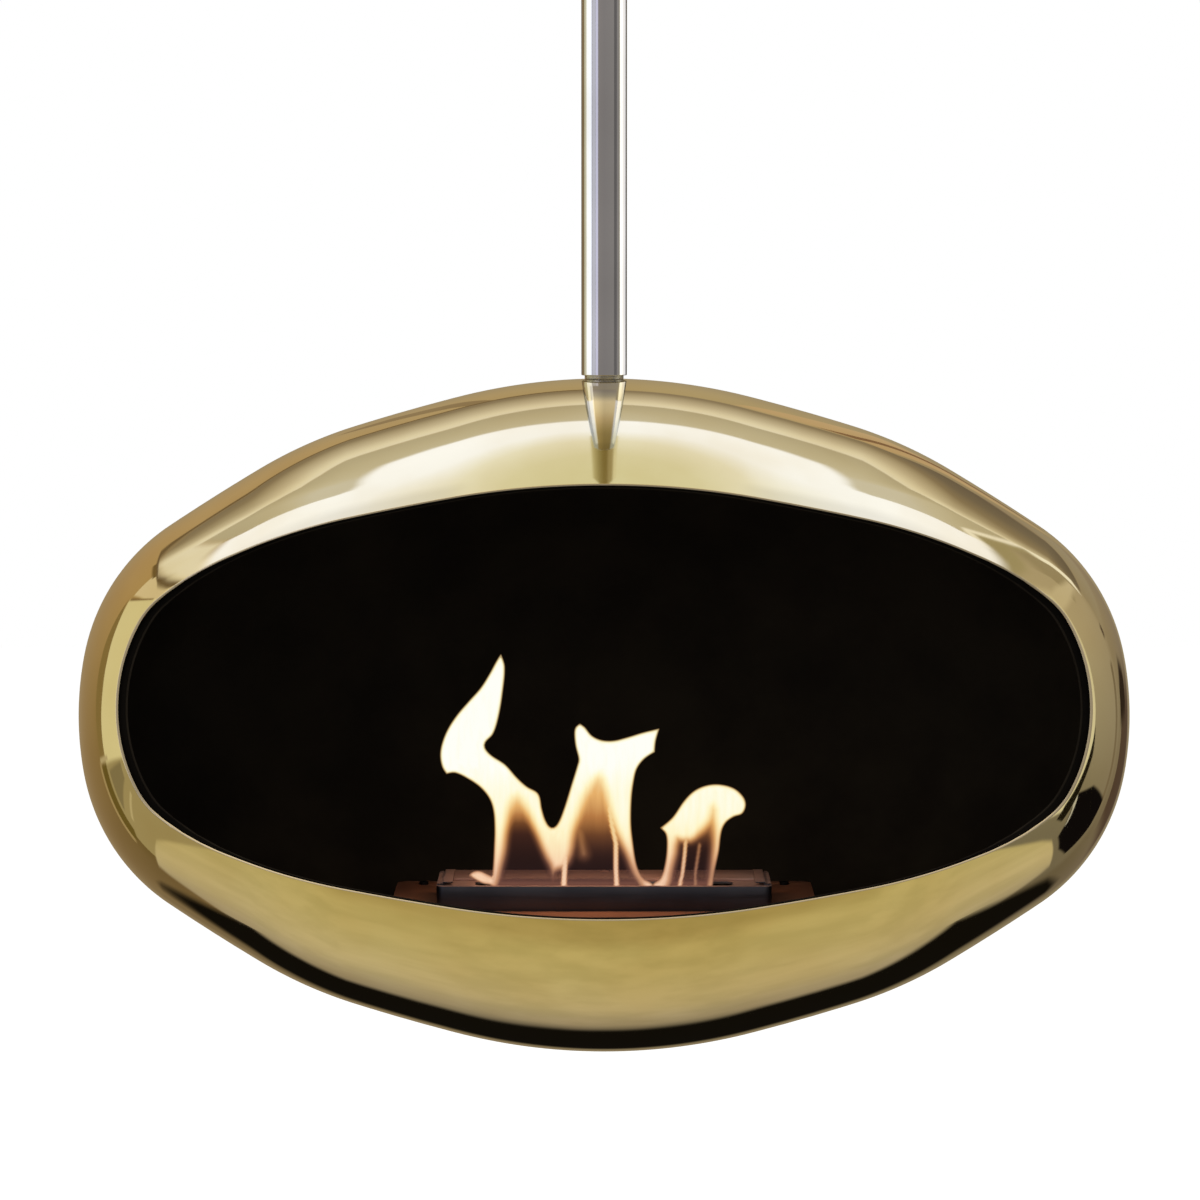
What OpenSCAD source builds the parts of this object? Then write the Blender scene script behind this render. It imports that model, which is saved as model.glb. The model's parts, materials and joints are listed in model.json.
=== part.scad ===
// Hanging fireplace: a spun oval pod on a turning ceiling pole, with a slot burner and a sliding lid.
// Millimetres. Z up, origin at the centre of the ceiling plate's top face, mouth towards -Y.
// The pod is a body of revolution about a level axis along X.

/* [Ceiling plate] */
// Diameter of the plate
plate_d = 150; // [140:1:156]
// Thickness of the plate
plate_t = 8; // [6:0.5:12]
// Circle that the ceiling bolts sit on
bolt_circle_d = 120; // [112:1:128]
// Ceiling bolt hole
bolt_hole_d = 9; // [7:0.5:11]
// Number of ceiling bolts
bolt_count = 4; // [3:1:6]

/* [Bearing housing] */
// Outside diameter of the housing
housing_d = 92; // [88:1:96]
// Height of the housing
housing_h = 38; // [37:0.5:46]
// Thickness of its floor
housing_floor_t = 8; // [6:0.5:9]
// Bore of its chamber
chamber_d = 68; // [56:1:70]
// Number of screws that join plate and housing
housing_screw_count = 4; // [3:1:6]
// Thread diameter of those screws
housing_screw_d = 6; // [4:0.5:6]
// Depth of those screws in the housing
housing_screw_grip = 14; // [8:0.5:18]

/* [Thrust bearing] */
// Spindle through the bearing
spindle_d = 20; // [16:0.5:22]
// Outside diameter of the races
race_d = 35; // [33:0.5:40]
// Thickness of each race
race_t = 3; // [2.5:0.1:4]
// Ball diameter
ball_d = 5.5; // [4.5:0.1:5.8]
// Number of balls
ball_count = 12; // [8:1:13]
// Depth of the ball grooves
groove_depth = 0.7; // [0.4:0.05:1]
// Thickness of the ball cage
cage_t = 2; // [1.2:0.1:2.6]
// Wall of the bronze guide bush
bush_wall = 3; // [2:0.1:4]
// Washer under the nut
nut_washer_t = 3; // [2:0.1:4]
// Width across the flats of the nut
nut_af = 30; // [28:0.5:34]
// Height of the nut
nut_h = 14; // [10:0.5:14]

/* [Ceiling cover] */
// Diameter of the cover
cover_d = 168; // [160:1:190]
// Sheet thickness of the cover
cover_t = 1.5; // [1:0.1:2.5]
// Outside radius of its lower edge
cover_edge_r = 16; // [6:0.5:24]
// Gap to the ceiling
cover_ceiling_gap = 1; // [0.5:0.1:3]
// Number of cover screws
cover_screw_count = 3; // [3:1:4]
// Thread diameter of the cover screws
cover_screw_d = 4; // [3:0.5:4]

/* [Pole] */
// Outside diameter of the pole
pole_d = 42.4; // [40:0.1:44]
// Wall of the pole
pole_wall = 3; // [2:0.1:4]
// Radius that rounds the edges of the pole's foot
pole_edge_r = 0.8; // [0.3:0.1:0.9]
// Length from the ceiling housing to the pole's foot
pole_len = 462; // [300:1:1500]
// Length of the plug inside the pole
plug_grip = 40; // [20:1:60]
// Shoulder of the plug on top of the pole
plug_shoulder_t = 4; // [3:0.5:8]

/* [Neck] */
// Height of the shadow gap between pole and pod
neck_gap = 3.2; // [2:0.1:12]
// Length of the neck inside the pole
neck_grip = 80; // [50:1:120]
// Thread that screws into the pod
neck_thread_d = 24; // [18:0.5:28]
// Grub screws through the pole's foot
neck_screw_d = 6; // [4:0.5:8]
// Spacing of the two grub screws
neck_screw_pitch = 30; // [16:1:40]

/* [Pod outline] */
// Largest diameter of the pod
pod_d = 628.8; // [610:0.2:650]
// Crown arc, radius
crown_r = 551; // [520:1:580]
// Crown arc, slope where it ends
crown_slope = 14.35; // [13:0.05:15.5]
// Shoulder arc, radius
shoulder_r = 1900; // [1600:10:2300]
// Shoulder arc, slope where it ends
shoulder_slope = 17.35; // [16.5:0.05:18.5]
// Bend arc, radius
bend_r = 419; // [390:1:440]
// Bend arc, slope where it ends
bend_slope = 30.8; // [30:0.05:31.5]
// Flank arc, radius
flank_r = 2030; // [1700:10:2300]
// Flank arc, slope where it ends
flank_slope = 33.6; // [33:0.05:34]
// Nose arc, radius
nose_r = 184; // [176:0.5:192]
// Nose arc, slope where it ends
nose_slope = 78.3; // [77:0.05:79]

/* [Pod skins] */
// Sheet of the outer shell
shell_t = 2; // [1.5:0.1:3]
// Air gap between shell and liner
liner_gap = 8; // [7:0.5:12]
// Sheet of the liner
liner_t = 1.5; // [1:0.1:2]
// Diameter of the doubler disc under the crown
doubler_d = 130; // [90:1:160]
// Thickness of the doubler
doubler_t = 4; // [3:0.1:5]
// Diameter of the threaded boss
boss_d = 64; // [50:1:70]
// Bottom of the boss below the crown
boss_drop = 24; // [18:0.5:32]
// Floor that closes the boss's thread off from the fire
boss_floor_t = 5; // [3:0.5:8]
// Gap round the boss in the liner
boss_gap = 1; // [0.5:0.1:3]

/* [Mouth] */
// Tilt of the mouth above level
mouth_pitch = 8.6; // [4:0.1:12]
// Half of the angle that the mouth opens
mouth_half_angle = 37.9; // [34:0.1:40]
// Distance of the mouth's end plane from the pod's axis
mouth_end = 144.8; // [140:0.1:160]
// Radius that rounds the mouth's corners
mouth_corner_r = 72; // [50:1:80]
// Sheet of the frame that closes the gap round the mouth
frame_t = 1.5; // [1:0.1:2.5]
// How far the frame and the liner's edge stand back from the shell's edge
frame_setback = 5.5; // [3:0.5:10]

/* [Liner fixing] */
// Spacer diameter
spacer_d = 18; // [14:0.5:24]
// Slope of the skin where the spacers stand
spacer_slope = 10; // [7:0.1:12]
// Height of the spacers above and below the pod's axis, as an angle
spacer_angle = 45; // [30:1:55]
// Thread of the liner screws
liner_screw_d = 6; // [4:0.5:8]

/* [Tray] */
// Width of the tray
tray_w = 400; // [370:1:420]
// Sheet of the tray
tray_t = 2; // [1.5:0.1:3]
// Height of the turned-down edge
tray_edge_h = 12; // [8:0.5:16]
// Corner radius of the tray
tray_corner_r = 12; // [4:0.5:20]
// Gap between the tray's edge and the liner
tray_gap = 38; // [24:0.5:60]
// Distance between the two tray rails
rail_spacing = 370; // [340:1:376]
// Sheet of the rails
rail_t = 3; // [2:0.1:4]
// Width of the rails' top flange
rail_flange_w = 22; // [16:0.5:22]
// Air holes in each rail
rail_hole_d = 28; // [16:0.5:34]
// Tray screws
tray_screw_d = 5; // [4:0.5:6]

/* [Burner] */
// Width of the burner deck
deck_w = 312; // [300:1:330]
// Depth of the burner deck
deck_depth = 102; // [98:0.5:112]
// Height of the deck above the tray
deck_h = 23; // [18:0.5:30]
// Deck top below the pod's axis
deck_drop = 155.4; // [145:0.1:160]
// Sheet of the deck
deck_t = 2; // [1.5:0.1:2.5]
// Corner radius of the deck
deck_corner_r = 8; // [4:0.5:12]
// Length of the flame slot
slot_w = 240; // [180:1:250]
// Width of the flame slot
slot_depth = 28; // [16:0.5:30]
// Distance from the deck's front edge to the slot
slot_inset = 7; // [5:0.5:9]
// Gap round the tank inside the deck
tank_gap = 4; // [3:0.5:6]
// Depth of the tank under the deck top
tank_h = 68; // [50:1:74]
// Sheet of the tank
tank_t = 1.5; // [1:0.1:2]
// Space between the fibre and the deck
fibre_drop = 8; // [5:0.5:16]

/* [Burner lid] */
// Sheet of the lid
lid_t = 2; // [1.5:0.1:3]
// Travel of the lid
lid_travel = 35; // [24:0.5:38]
// How far the shut lid laps over the slot's edges
lid_lap = 3; // [2:0.5:4]
// Corner radius of the lid
lid_corner_r = 8; // [3:0.5:12]
// Hole for the hook that pulls the lid
lid_hole_d = 10; // [6:0.5:12]
// Running clearance of the lid
lid_clearance = 0.2; // [0.1:0.05:0.5]
// Sheet of the lid guides
guide_t = 1; // [0.8:0.1:1.5]
// Width of the guide's lip over the lid
guide_lip_w = 8; // [4:0.5:12]
// Distance from the guide's web to the deck's edge
guide_foot_w = 7; // [6.5:0.5:8]
// How far the guide's foot stands in from the deck's edge
guide_foot_gap = 0.5; // [0.2:0.1:0.8]
// Guide rivets
rivet_d = 2.5; // [2:0.1:2.8]

/* [Hidden] */

$fn = 64;
eps = 0.5;

// Fits
slip = 0.05;
turning_gap = 1;
bush_clearance = 0.1;

// Ceiling stack, from the ceiling down
housing_top = -plate_t;
housing_bottom = housing_top - housing_h;
chamber_floor = housing_bottom + housing_floor_t;
housing_screw_circle_r = (housing_d + chamber_d) / 4;
lower_race_top = chamber_floor + race_t;
ball_z = lower_race_top - groove_depth + ball_d / 2 + slip;
upper_race_bottom = ball_z + ball_d / 2 + slip - groove_depth;
upper_race_top = upper_race_bottom + race_t;
nut_bottom = upper_race_top + nut_washer_t;
nut_top = nut_bottom + nut_h;
spindle_r = spindle_d / 2;
race_r = race_d / 2;
ball_circle_r = (spindle_r + race_r) / 2;
groove_r = ball_d / 2 + slip;
cage_gap = 0.4;
race_clearance = 0.5;
nut_washer_rim = 1;
pole_top = housing_bottom - turning_gap;
pole_r = pole_d / 2;
pole_bore_r = pole_r - pole_wall;
cover_bore_r = pole_r + turning_gap;
cover_bottom = housing_bottom - cover_t;
cover_screw_bite = 8;
cover_screw_grip = cover_t + cover_screw_bite;

// Pole and neck
pole_foot = pole_top - pole_len;
crown_z = pole_foot - neck_gap;
neck_r = pole_bore_r - slip;
neck_seat = 1;
thread_end_gap = 1;
thread_foot = crown_z - boss_drop + boss_floor_t + thread_end_gap;
neck_hole_gap = 0.4;
neck_hole_r = neck_r + neck_hole_gap;
neck_screw_bite = 8;
neck_screw_depth = pole_wall + neck_screw_bite;

// Pod outline: five arcs, each tangent to the next, and a tip arc centred on the axis.
// Each arc is [centre along the axis, centre from the axis, radius, slope at its start, slope at its end].
pod_r = pod_d / 2;
axis_z = crown_z - pod_r;
arc_radii = [crown_r, shoulder_r, bend_r, flank_r, nose_r];
arc_slopes = [0, crown_slope, shoulder_slope, bend_slope, flank_slope, nose_slope, 90];

function next_centre(c, r_old, r_new, slope) =
    [c[0] + (r_old - r_new) * sin(slope), c[1] + (r_old - r_new) * cos(slope)];
function arc_centre(i) = i == 0 ? [0, pod_r - crown_r]
    : next_centre(arc_centre(i - 1), arc_radii[i - 1], arc_radii[i], arc_slopes[i]);
last_arc = len(arc_radii) - 1;
nose_centre = arc_centre(last_arc);
tip_r = nose_r + nose_centre[1] / cos(nose_slope);
tip_centre = next_centre(nose_centre, nose_r, tip_r, nose_slope);
ARCS = [
    for (i = [0 : last_arc]) [arc_centre(i)[0], arc_centre(i)[1], arc_radii[i], arc_slopes[i], arc_slopes[i + 1]],
    [tip_centre[0], 0, tip_r, nose_slope, 90]
];
// Largest turn of one step of the pod's outline
arc_turn = 2.4;
// Steps round one corner of the mouth
corner_steps = 10;

// Points of one arc, [from the axis, along the axis], on a surface that lies inset inside the outline
function arc_points(a, inset) =
    let (n = ceil((a[4] - a[3]) / arc_turn))
    [for (k = [0 : n - 1]) let (slope = a[3] + (a[4] - a[3]) * k / n)
        [a[1] + (a[2] - inset) * cos(slope), a[0] + (a[2] - inset) * sin(slope)]];
// Half of the outline, from the crown to the tip
function half_outline(inset) = [for (a = ARCS) each arc_points(a, inset)];
// Where an arc ends along the axis, and which arc holds a place along the axis
function arc_end(i, inset) = ARCS[i][0] + (ARCS[i][2] - inset) * sin(ARCS[i][4]);
function arc_at(x, inset, i = 0) =
    i == len(ARCS) - 1 || abs(x) <= arc_end(i, inset) ? i : arc_at(x, inset, i + 1);
// Radius of the surface at a place along the axis
function skin_r(x, inset) =
    let (a = ARCS[arc_at(x, inset)]) a[1] + sqrt(pow(a[2] - inset, 2) - pow(abs(x) - a[0], 2));

pod_half_w = tip_centre[0] + tip_r;
shell_inside = shell_t;
doubler_inside = shell_inside + doubler_t;
liner_outside = shell_inside + liner_gap;
liner_inside = liner_outside + liner_t;
liner_screw_grip = liner_t + liner_gap / 2;

// Tray, rails and burner, measured from the pod's axis
deck_top = -deck_drop;
tray_top = deck_top - deck_h;
tray_under = tray_top - tray_t;
tray_edge_z = tray_top - tray_edge_h;
tray_half_depth = sqrt(pow(skin_r(tray_w / 2, liner_inside), 2) - pow(tray_edge_z, 2)) - tray_gap;
rail_x = rail_spacing / 2;
rail_half_len = tray_half_depth - tray_corner_r;
rail_hole_pitch = rail_half_len * 2 / 4;
tray_screw_y = rail_half_len - rail_flange_w / 2;
tray_screw_x = rail_x - rail_flange_w / 2;
tank_half_w = deck_w / 2 - deck_t - tank_gap;
tank_half_depth = deck_depth / 2 - deck_t - tank_gap;
tank_top = deck_top - deck_t;
tank_bottom = deck_top - tank_h;
tank_corner_r = deck_corner_r - deck_t;
tray_slot_gap = 1;
slot_front = -deck_depth / 2 + slot_inset;
slot_back = slot_front + slot_depth;
slot_corner_r = slot_depth / 4;

// Lid, shown open: shut, it laps over both long edges of the slot
lid_bottom = deck_top + lid_clearance / 2;
lid_top = lid_bottom + lid_t;
lid_front = slot_front - lid_lap + lid_travel;
lid_back = deck_depth / 2 - lid_lap;
lid_half_w = deck_w / 2 - guide_foot_w - lid_clearance;
guide_web_x = deck_w / 2 - guide_foot_w;
guide_lip_z = lid_top + lid_clearance;
lid_hole_y = lid_back - lid_hole_d;
rivet_x = deck_w / 2 - (guide_foot_w + guide_foot_gap - guide_t) / 2;
rivet_y = deck_depth / 2 - deck_corner_r - rivet_d;

// Screws, as shares of the thread: width and height of the head, width of the hexagon socket
head_ratio = 1.8;
head_height = 0.55;
socket_ratio = 0.7;

gold = "goldenrod";
steel = "silver";
dark = "dimgray";
black = "black";

// ---------- shared shapes ----------

// The pod's outline turned about its axis, drawn inwards by inset
module spun(inset) {
    half = half_outline(inset);
    tip = pod_half_w - inset;
    back = [for (i = [len(half) - 1 : -1 : 1]) [half[i][0], -half[i][1]]];
    translate([0, 0, axis_z]) rotate([0, 90, 0]) rotate_extrude($fn = 144)
        polygon(concat([[0, -tip]], back, half, [[0, tip]]));
}

// A skin between two insets
module skin(outside, inside) {
    difference() {
        spun(outside);
        spun(inside);
    }
}

// Side view of the space in front of the mouth, grown by grow into the pod's metal:
// two slanted sides and an end plane, with rounded corners between them
module mouth_outline(grow) {
    a = mouth_half_angle;
    r = mouth_corner_r + grow;
    end = mouth_end - grow;
    side_shift = grow / cos(a);
    far = pod_r + eps;
    centre = [end + r, (end + r) * tan(a) + side_shift - r / cos(a)];
    corner_turn = 90 - a;
    upper = concat(
        [for (k = [0 : corner_steps]) let (t = corner_turn * k / corner_steps)
            [-centre[0] + r * cos(t), centre[1] + r * sin(t)]],
        [[-far, far * tan(a) + side_shift]]
    );
    lower = [for (i = [len(upper) - 1 : -1 : 0]) [upper[i][0], -upper[i][1]]];
    polygon(concat(upper, lower));
}

// The space in front of the mouth, right across the pod
module mouth_space(grow = 0) {
    translate([-pod_half_w, 0, axis_z]) rotate([-mouth_pitch, 0, 0]) rotate([90, 0, 90])
        linear_extrude(2 * pod_half_w) mouth_outline(grow);
}

// Places its children on the crown arc, their Z along the skin's normal, at an angle round the axis
module on_crown(turn, slope, inset) {
    translate([0, 0, axis_z]) rotate([turn, 0, 0]) translate([0, 0, pod_r - crown_r])
        rotate([0, slope, 0]) translate([0, 0, crown_r - inset]) children();
}

// A round-cornered plate outline centred on the origin
module plate_outline(w, d, r) {
    square([w - 2 * r, d], center = true);
    square([w, d - 2 * r], center = true);
    for (x = [-1, 1], y = [-1, 1]) translate([x * (w / 2 - r), y * (d / 2 - r)]) circle(r = r);
}

// A screw with a low round head, head up on the plane z = 0
module round_screw(d, grip) {
    translate([0, 0, -grip]) cylinder(d = d, h = grip);
    difference() {
        cylinder(d = d * head_ratio, h = d * head_height);
        translate([0, 0, d * head_height / 2]) cylinder(d = d * socket_ratio, h = d, $fn = 6);
    }
}

// ---------- ceiling mount ----------

module housing_screw_places() {
    for (i = [0 : housing_screw_count - 1])
        rotate([0, 0, (i + 0.5) * 360 / housing_screw_count]) translate([housing_screw_circle_r, 0, 0])
            children();
}

// Countersunk screw, head flush with z = 0
module sunk_screw(d, grip) {
    translate([0, 0, -grip]) cylinder(d = d, h = grip);
    translate([0, 0, -d / 2]) cylinder(d1 = d, d2 = 2 * d, h = d / 2);
}

module ceiling_plate() {
    color(steel) difference() {
        translate([0, 0, -plate_t]) cylinder(d = plate_d, h = plate_t);
        for (i = [0 : bolt_count - 1])
            rotate([0, 0, i * 360 / bolt_count]) translate([bolt_circle_d / 2, 0, -plate_t - eps])
                cylinder(d = bolt_hole_d, h = plate_t + 2 * eps);
        housing_screw_places() sunk_screw(housing_screw_d, plate_t + eps);
    }
}

module housing_screws() {
    color(dark) housing_screw_places() difference() {
        sunk_screw(housing_screw_d, plate_t + housing_screw_grip);
        translate([0, 0, -housing_screw_d / 3])
            cylinder(d = housing_screw_d * socket_ratio, h = housing_screw_d, $fn = 6);
    }
}

module cover_screw_places() {
    for (i = [0 : cover_screw_count - 1])
        rotate([0, 0, 90 + i * 360 / cover_screw_count])
            translate([housing_screw_circle_r, 0, cover_bottom]) rotate([180, 0, 0]) children();
}

module bearing_housing() {
    color(steel) difference() {
        translate([0, 0, housing_bottom]) cylinder(d = housing_d, h = housing_h);
        translate([0, 0, chamber_floor]) cylinder(d = chamber_d, h = housing_h);
        translate([0, 0, housing_bottom - eps]) cylinder(r = spindle_r + bush_wall, h = housing_h);
        housing_screw_places() translate([0, 0, -plate_t - housing_screw_grip])
            cylinder(d = housing_screw_d, h = housing_screw_grip + eps);
        cover_screw_places() translate([0, 0, -cover_screw_grip])
            cylinder(d = cover_screw_d, h = cover_screw_grip);
    }
}

module guide_bush() {
    color("peru") translate([0, 0, housing_bottom]) difference() {
        cylinder(r = spindle_r + bush_wall, h = housing_floor_t);
        translate([0, 0, -eps]) cylinder(r = spindle_r + bush_clearance, h = housing_floor_t + 2 * eps);
    }
}

// A flat ring with a ball groove round its upper face
module grooved_race(bore_r) {
    rotate_extrude() difference() {
        translate([bore_r, -race_t]) square([race_r - bore_r, race_t]);
        translate([ball_circle_r, groove_r - groove_depth]) circle(r = groove_r);
    }
}

module lower_race() {
    color(steel) translate([0, 0, lower_race_top]) grooved_race(spindle_r + race_clearance);
}

module upper_race() {
    color(steel) translate([0, 0, upper_race_bottom]) mirror([0, 0, 1]) grooved_race(spindle_r);
}

module ball_places() {
    for (i = [0 : ball_count - 1])
        rotate([0, 0, i * 360 / ball_count]) translate([ball_circle_r, 0, ball_z]) children();
}

module bearing_balls() {
    color("white") ball_places() sphere(d = ball_d);
}

module bearing_cage() {
    color("peru") difference() {
        translate([0, 0, ball_z - cage_t / 2]) difference() {
            cylinder(r = race_r - cage_gap, h = cage_t);
            translate([0, 0, -eps]) cylinder(r = spindle_r + cage_gap, h = cage_t + 2 * eps);
        }
        ball_places() translate([0, 0, -cage_t]) cylinder(d = ball_d + 2 * slip, h = 2 * cage_t);
    }
}

module nut_washer() {
    color(steel) translate([0, 0, upper_race_top]) difference() {
        cylinder(r = race_r + nut_washer_rim, h = nut_washer_t);
        translate([0, 0, -eps]) cylinder(r = spindle_r, h = nut_washer_t + 2 * eps);
    }
}

module lock_nut() {
    color(dark) translate([0, 0, nut_bottom]) difference() {
        cylinder(d = nut_af / cos(30), h = nut_h, $fn = 6);
        translate([0, 0, -eps]) cylinder(r = spindle_r, h = nut_h + 2 * eps);
    }
}

// Half section of the cover: a cup, open to the ceiling, with a rounded lower edge
module cover_profile(inset) {
    r = cover_edge_r - inset;
    wall_r = cover_d / 2 - inset;
    floor_z = cover_bottom + inset;
    translate([0, floor_z]) square([wall_r - r, -floor_z]);
    translate([0, floor_z + r]) square([wall_r, -floor_z - r]);
    intersection() {
        translate([wall_r - r, floor_z + r]) circle(r = r);
        translate([wall_r - r, floor_z]) square([r, r]);
    }
}

module ceiling_cover() {
    color(steel) difference() {
        rotate_extrude($fn = 128) difference() {
            cover_profile(0);
            cover_profile(cover_t);
            translate([0, cover_bottom - eps]) square([cover_bore_r, -cover_bottom]);
            translate([0, -cover_ceiling_gap]) square([cover_d, cover_d]);
        }
        cover_screw_places() translate([0, 0, -cover_screw_grip])
            cylinder(d = cover_screw_d, h = cover_screw_grip + eps);
    }
}

module cover_screws() {
    color(dark) cover_screw_places() round_screw(cover_screw_d, cover_screw_grip);
}

// ---------- pole ----------

module pole_plug() {
    color(steel) {
        translate([0, 0, pole_top - plug_shoulder_t - plug_grip]) cylinder(r = neck_r, h = plug_grip + eps);
        translate([0, 0, pole_top - plug_shoulder_t]) cylinder(r = pole_r, h = plug_shoulder_t);
        translate([0, 0, pole_top - eps]) cylinder(r = spindle_r, h = nut_top + eps - pole_top);
    }
}

// Places its children on the back of the pole's foot, their Z pointing outwards
module neck_screw_places() {
    for (side = [-1, 1])
        translate([0, pole_r, pole_foot + neck_grip / 2 + side * neck_screw_pitch / 2]) rotate([-90, 0, 0])
            children();
}

module neck_screw_holes() {
    neck_screw_places() translate([0, 0, -neck_screw_depth])
        cylinder(d = neck_screw_d, h = neck_screw_depth + eps);
}

// Half section of the pole, the edges of its foot rounded
module pole_profile() {
    translate([pole_bore_r, pole_edge_r]) square([pole_wall, pole_len - plug_shoulder_t - pole_edge_r]);
    translate([pole_bore_r + pole_edge_r, 0]) square([pole_wall - 2 * pole_edge_r, 2 * pole_edge_r]);
    for (r = [pole_bore_r + pole_edge_r, pole_r - pole_edge_r])
        translate([r, pole_edge_r]) circle(r = pole_edge_r);
}

module pole() {
    color(steel) difference() {
        translate([0, 0, pole_foot]) rotate_extrude($fn = 96) pole_profile();
        neck_screw_holes();
    }
}

module pole_neck() {
    color(steel) difference() {
        union() {
            translate([0, 0, crown_z - neck_seat]) cylinder(r = neck_r, h = neck_seat + neck_gap + neck_grip);
            translate([0, 0, thread_foot]) cylinder(d = neck_thread_d, h = crown_z - thread_foot);
        }
        neck_screw_holes();
    }
}

module neck_screws() {
    color(dark) neck_screw_places() translate([0, 0, -neck_screw_depth]) difference() {
        cylinder(d = neck_screw_d, h = neck_screw_depth - turning_gap);
        translate([0, 0, neck_screw_depth / 2]) cylinder(d = neck_screw_d / 2, h = neck_screw_depth, $fn = 6);
    }
}

// ---------- pod ----------

module neck_hole() {
    translate([0, 0, crown_z - boss_drop]) cylinder(r = neck_hole_r, h = boss_drop + eps);
}

module pod_shell() {
    color(gold) difference() {
        skin(0, shell_inside);
        mouth_space();
        neck_hole();
    }
}

module crown_doubler() {
    color(dark) difference() {
        intersection() {
            skin(shell_inside, doubler_inside);
            translate([0, 0, axis_z]) cylinder(d = doubler_d, h = pod_r);
        }
        neck_hole();
    }
}

module crown_boss() {
    color(dark) difference() {
        union() {
            intersection() {
                spun(doubler_inside);
                translate([0, 0, crown_z - boss_drop]) cylinder(d = boss_d, h = boss_drop);
            }
            translate([0, 0, crown_z - boss_drop]) cylinder(r = neck_hole_r, h = boss_drop - neck_seat);
        }
        translate([0, 0, crown_z - boss_drop + boss_floor_t]) cylinder(d = neck_thread_d, h = boss_drop);
    }
}

// Places its children where the spacers stand: two rows at the back, a spacer each side
module spacer_places(inset) {
    for (turn = [-90 + spacer_angle, -90 - spacer_angle], side = [-1, 1])
        on_crown(turn, side * spacer_slope, inset) children();
}

module pod_liner() {
    color(black) difference() {
        skin(liner_outside, liner_inside);
        mouth_space(frame_setback);
        translate([0, 0, axis_z]) cylinder(d = boss_d + 2 * boss_gap, h = pod_r);
        spacer_places(liner_inside + liner_t) cylinder(d = liner_screw_d, h = 3 * liner_t);
    }
}

module mouth_frame() {
    color(black) difference() {
        intersection() {
            skin(shell_inside, liner_outside);
            mouth_space(frame_setback + frame_t);
        }
        mouth_space(frame_setback);
    }
}

module liner_spacers() {
    color(dark) difference() {
        intersection() {
            skin(shell_inside, liner_outside);
            spacer_places(liner_outside + shell_t) cylinder(d = spacer_d, h = liner_gap + 2 * shell_t);
        }
        spacer_places(liner_inside) cylinder(d = liner_screw_d, h = liner_screw_grip);
    }
}

module liner_screws() {
    head_h = liner_screw_d * head_height;
    color(black) {
        spacer_places(liner_inside + head_h / 2) cylinder(d = liner_screw_d, h = head_h / 2 + liner_screw_grip);
        intersection() {
            spun(liner_inside);
            spacer_places(liner_inside + head_h) cylinder(d = liner_screw_d * head_ratio, h = 2 * head_h);
        }
    }
}

// ---------- tray ----------

// Raises a flat outline to a plate between two heights measured from the pod's axis
module slab(bottom, top) {
    translate([0, 0, axis_z + bottom]) linear_extrude(top - bottom) children();
}

module tank_outline(grow = 0) {
    plate_outline(2 * (tank_half_w + grow), 2 * (tank_half_depth + grow), tank_corner_r + grow);
}

module tray_screw_places() {
    for (x = [-1, 1], y = [-1, 1])
        translate([x * tray_screw_x, y * tray_screw_y, axis_z + tray_top]) children();
}

module burner_tray() {
    color("saddlebrown") difference() {
        slab(tray_edge_z, tray_top) plate_outline(tray_w, 2 * tray_half_depth, tray_corner_r);
        slab(tray_edge_z - eps, tray_under)
            plate_outline(tray_w - 2 * tray_t, 2 * (tray_half_depth - tray_t), tray_corner_r - tray_t);
        slab(tray_edge_z - eps, tray_top + eps) tank_outline(tray_slot_gap);
        tray_screw_places() translate([0, 0, -tray_edge_h]) cylinder(d = tray_screw_d, h = 2 * tray_edge_h);
    }
}

// Folded plate: a flange under the tray and a web whose lower edge follows the liner
module tray_rail(side) {
    color(dark) difference() {
        intersection() {
            spun(liner_inside);
            translate([side * rail_x, 0, axis_z]) rotate([90, 0, 0])
                linear_extrude(2 * rail_half_len, center = true) mirror([side < 0 ? 0 : 1, 0]) {
                    translate([0, -pod_r]) square([rail_t, pod_r + tray_under]);
                    translate([0, tray_under - rail_t]) square([rail_flange_w, rail_t]);
                }
        }
        for (i = [-1 : 1])
            translate([side * rail_x - rail_flange_w, i * rail_hole_pitch, axis_z + tray_under - rail_hole_d])
                rotate([0, 90, 0]) cylinder(d = rail_hole_d, h = 2 * rail_flange_w);
        tray_screw_places() translate([0, 0, -tray_edge_h]) cylinder(d = tray_screw_d, h = tray_edge_h);
    }
}

module tray_screws() {
    color(dark) tray_screw_places() round_screw(tray_screw_d, tray_t + 2 * rail_t);
}

// ---------- burner ----------

module burner_tank() {
    color(dark) difference() {
        slab(tank_bottom, tank_top) tank_outline();
        slab(tank_bottom + tank_t, tank_top + eps) tank_outline(-tank_t);
    }
}

module fibre_block() {
    color("white") slab(tank_bottom + tank_t, tank_top - fibre_drop) tank_outline(-tank_t);
}

module rivet_places() {
    for (x = [-1, 1], y = [-1, 1])
        translate([x * rivet_x, y * rivet_y, axis_z + deck_top + guide_t]) children();
}

module burner_deck() {
    color("slategray") difference() {
        slab(tray_top, deck_top) plate_outline(deck_w, deck_depth, deck_corner_r);
        slab(tray_top - eps, deck_top - deck_t)
            plate_outline(deck_w - 2 * deck_t, deck_depth - 2 * deck_t, deck_corner_r - deck_t);
        slab(deck_top - 2 * deck_t, deck_top + eps) translate([0, (slot_front + slot_back) / 2])
            plate_outline(slot_w, slot_depth, slot_corner_r);
        rivet_places() translate([0, 0, -3 * deck_t]) cylinder(d = rivet_d, h = 4 * deck_t);
    }
}

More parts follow.
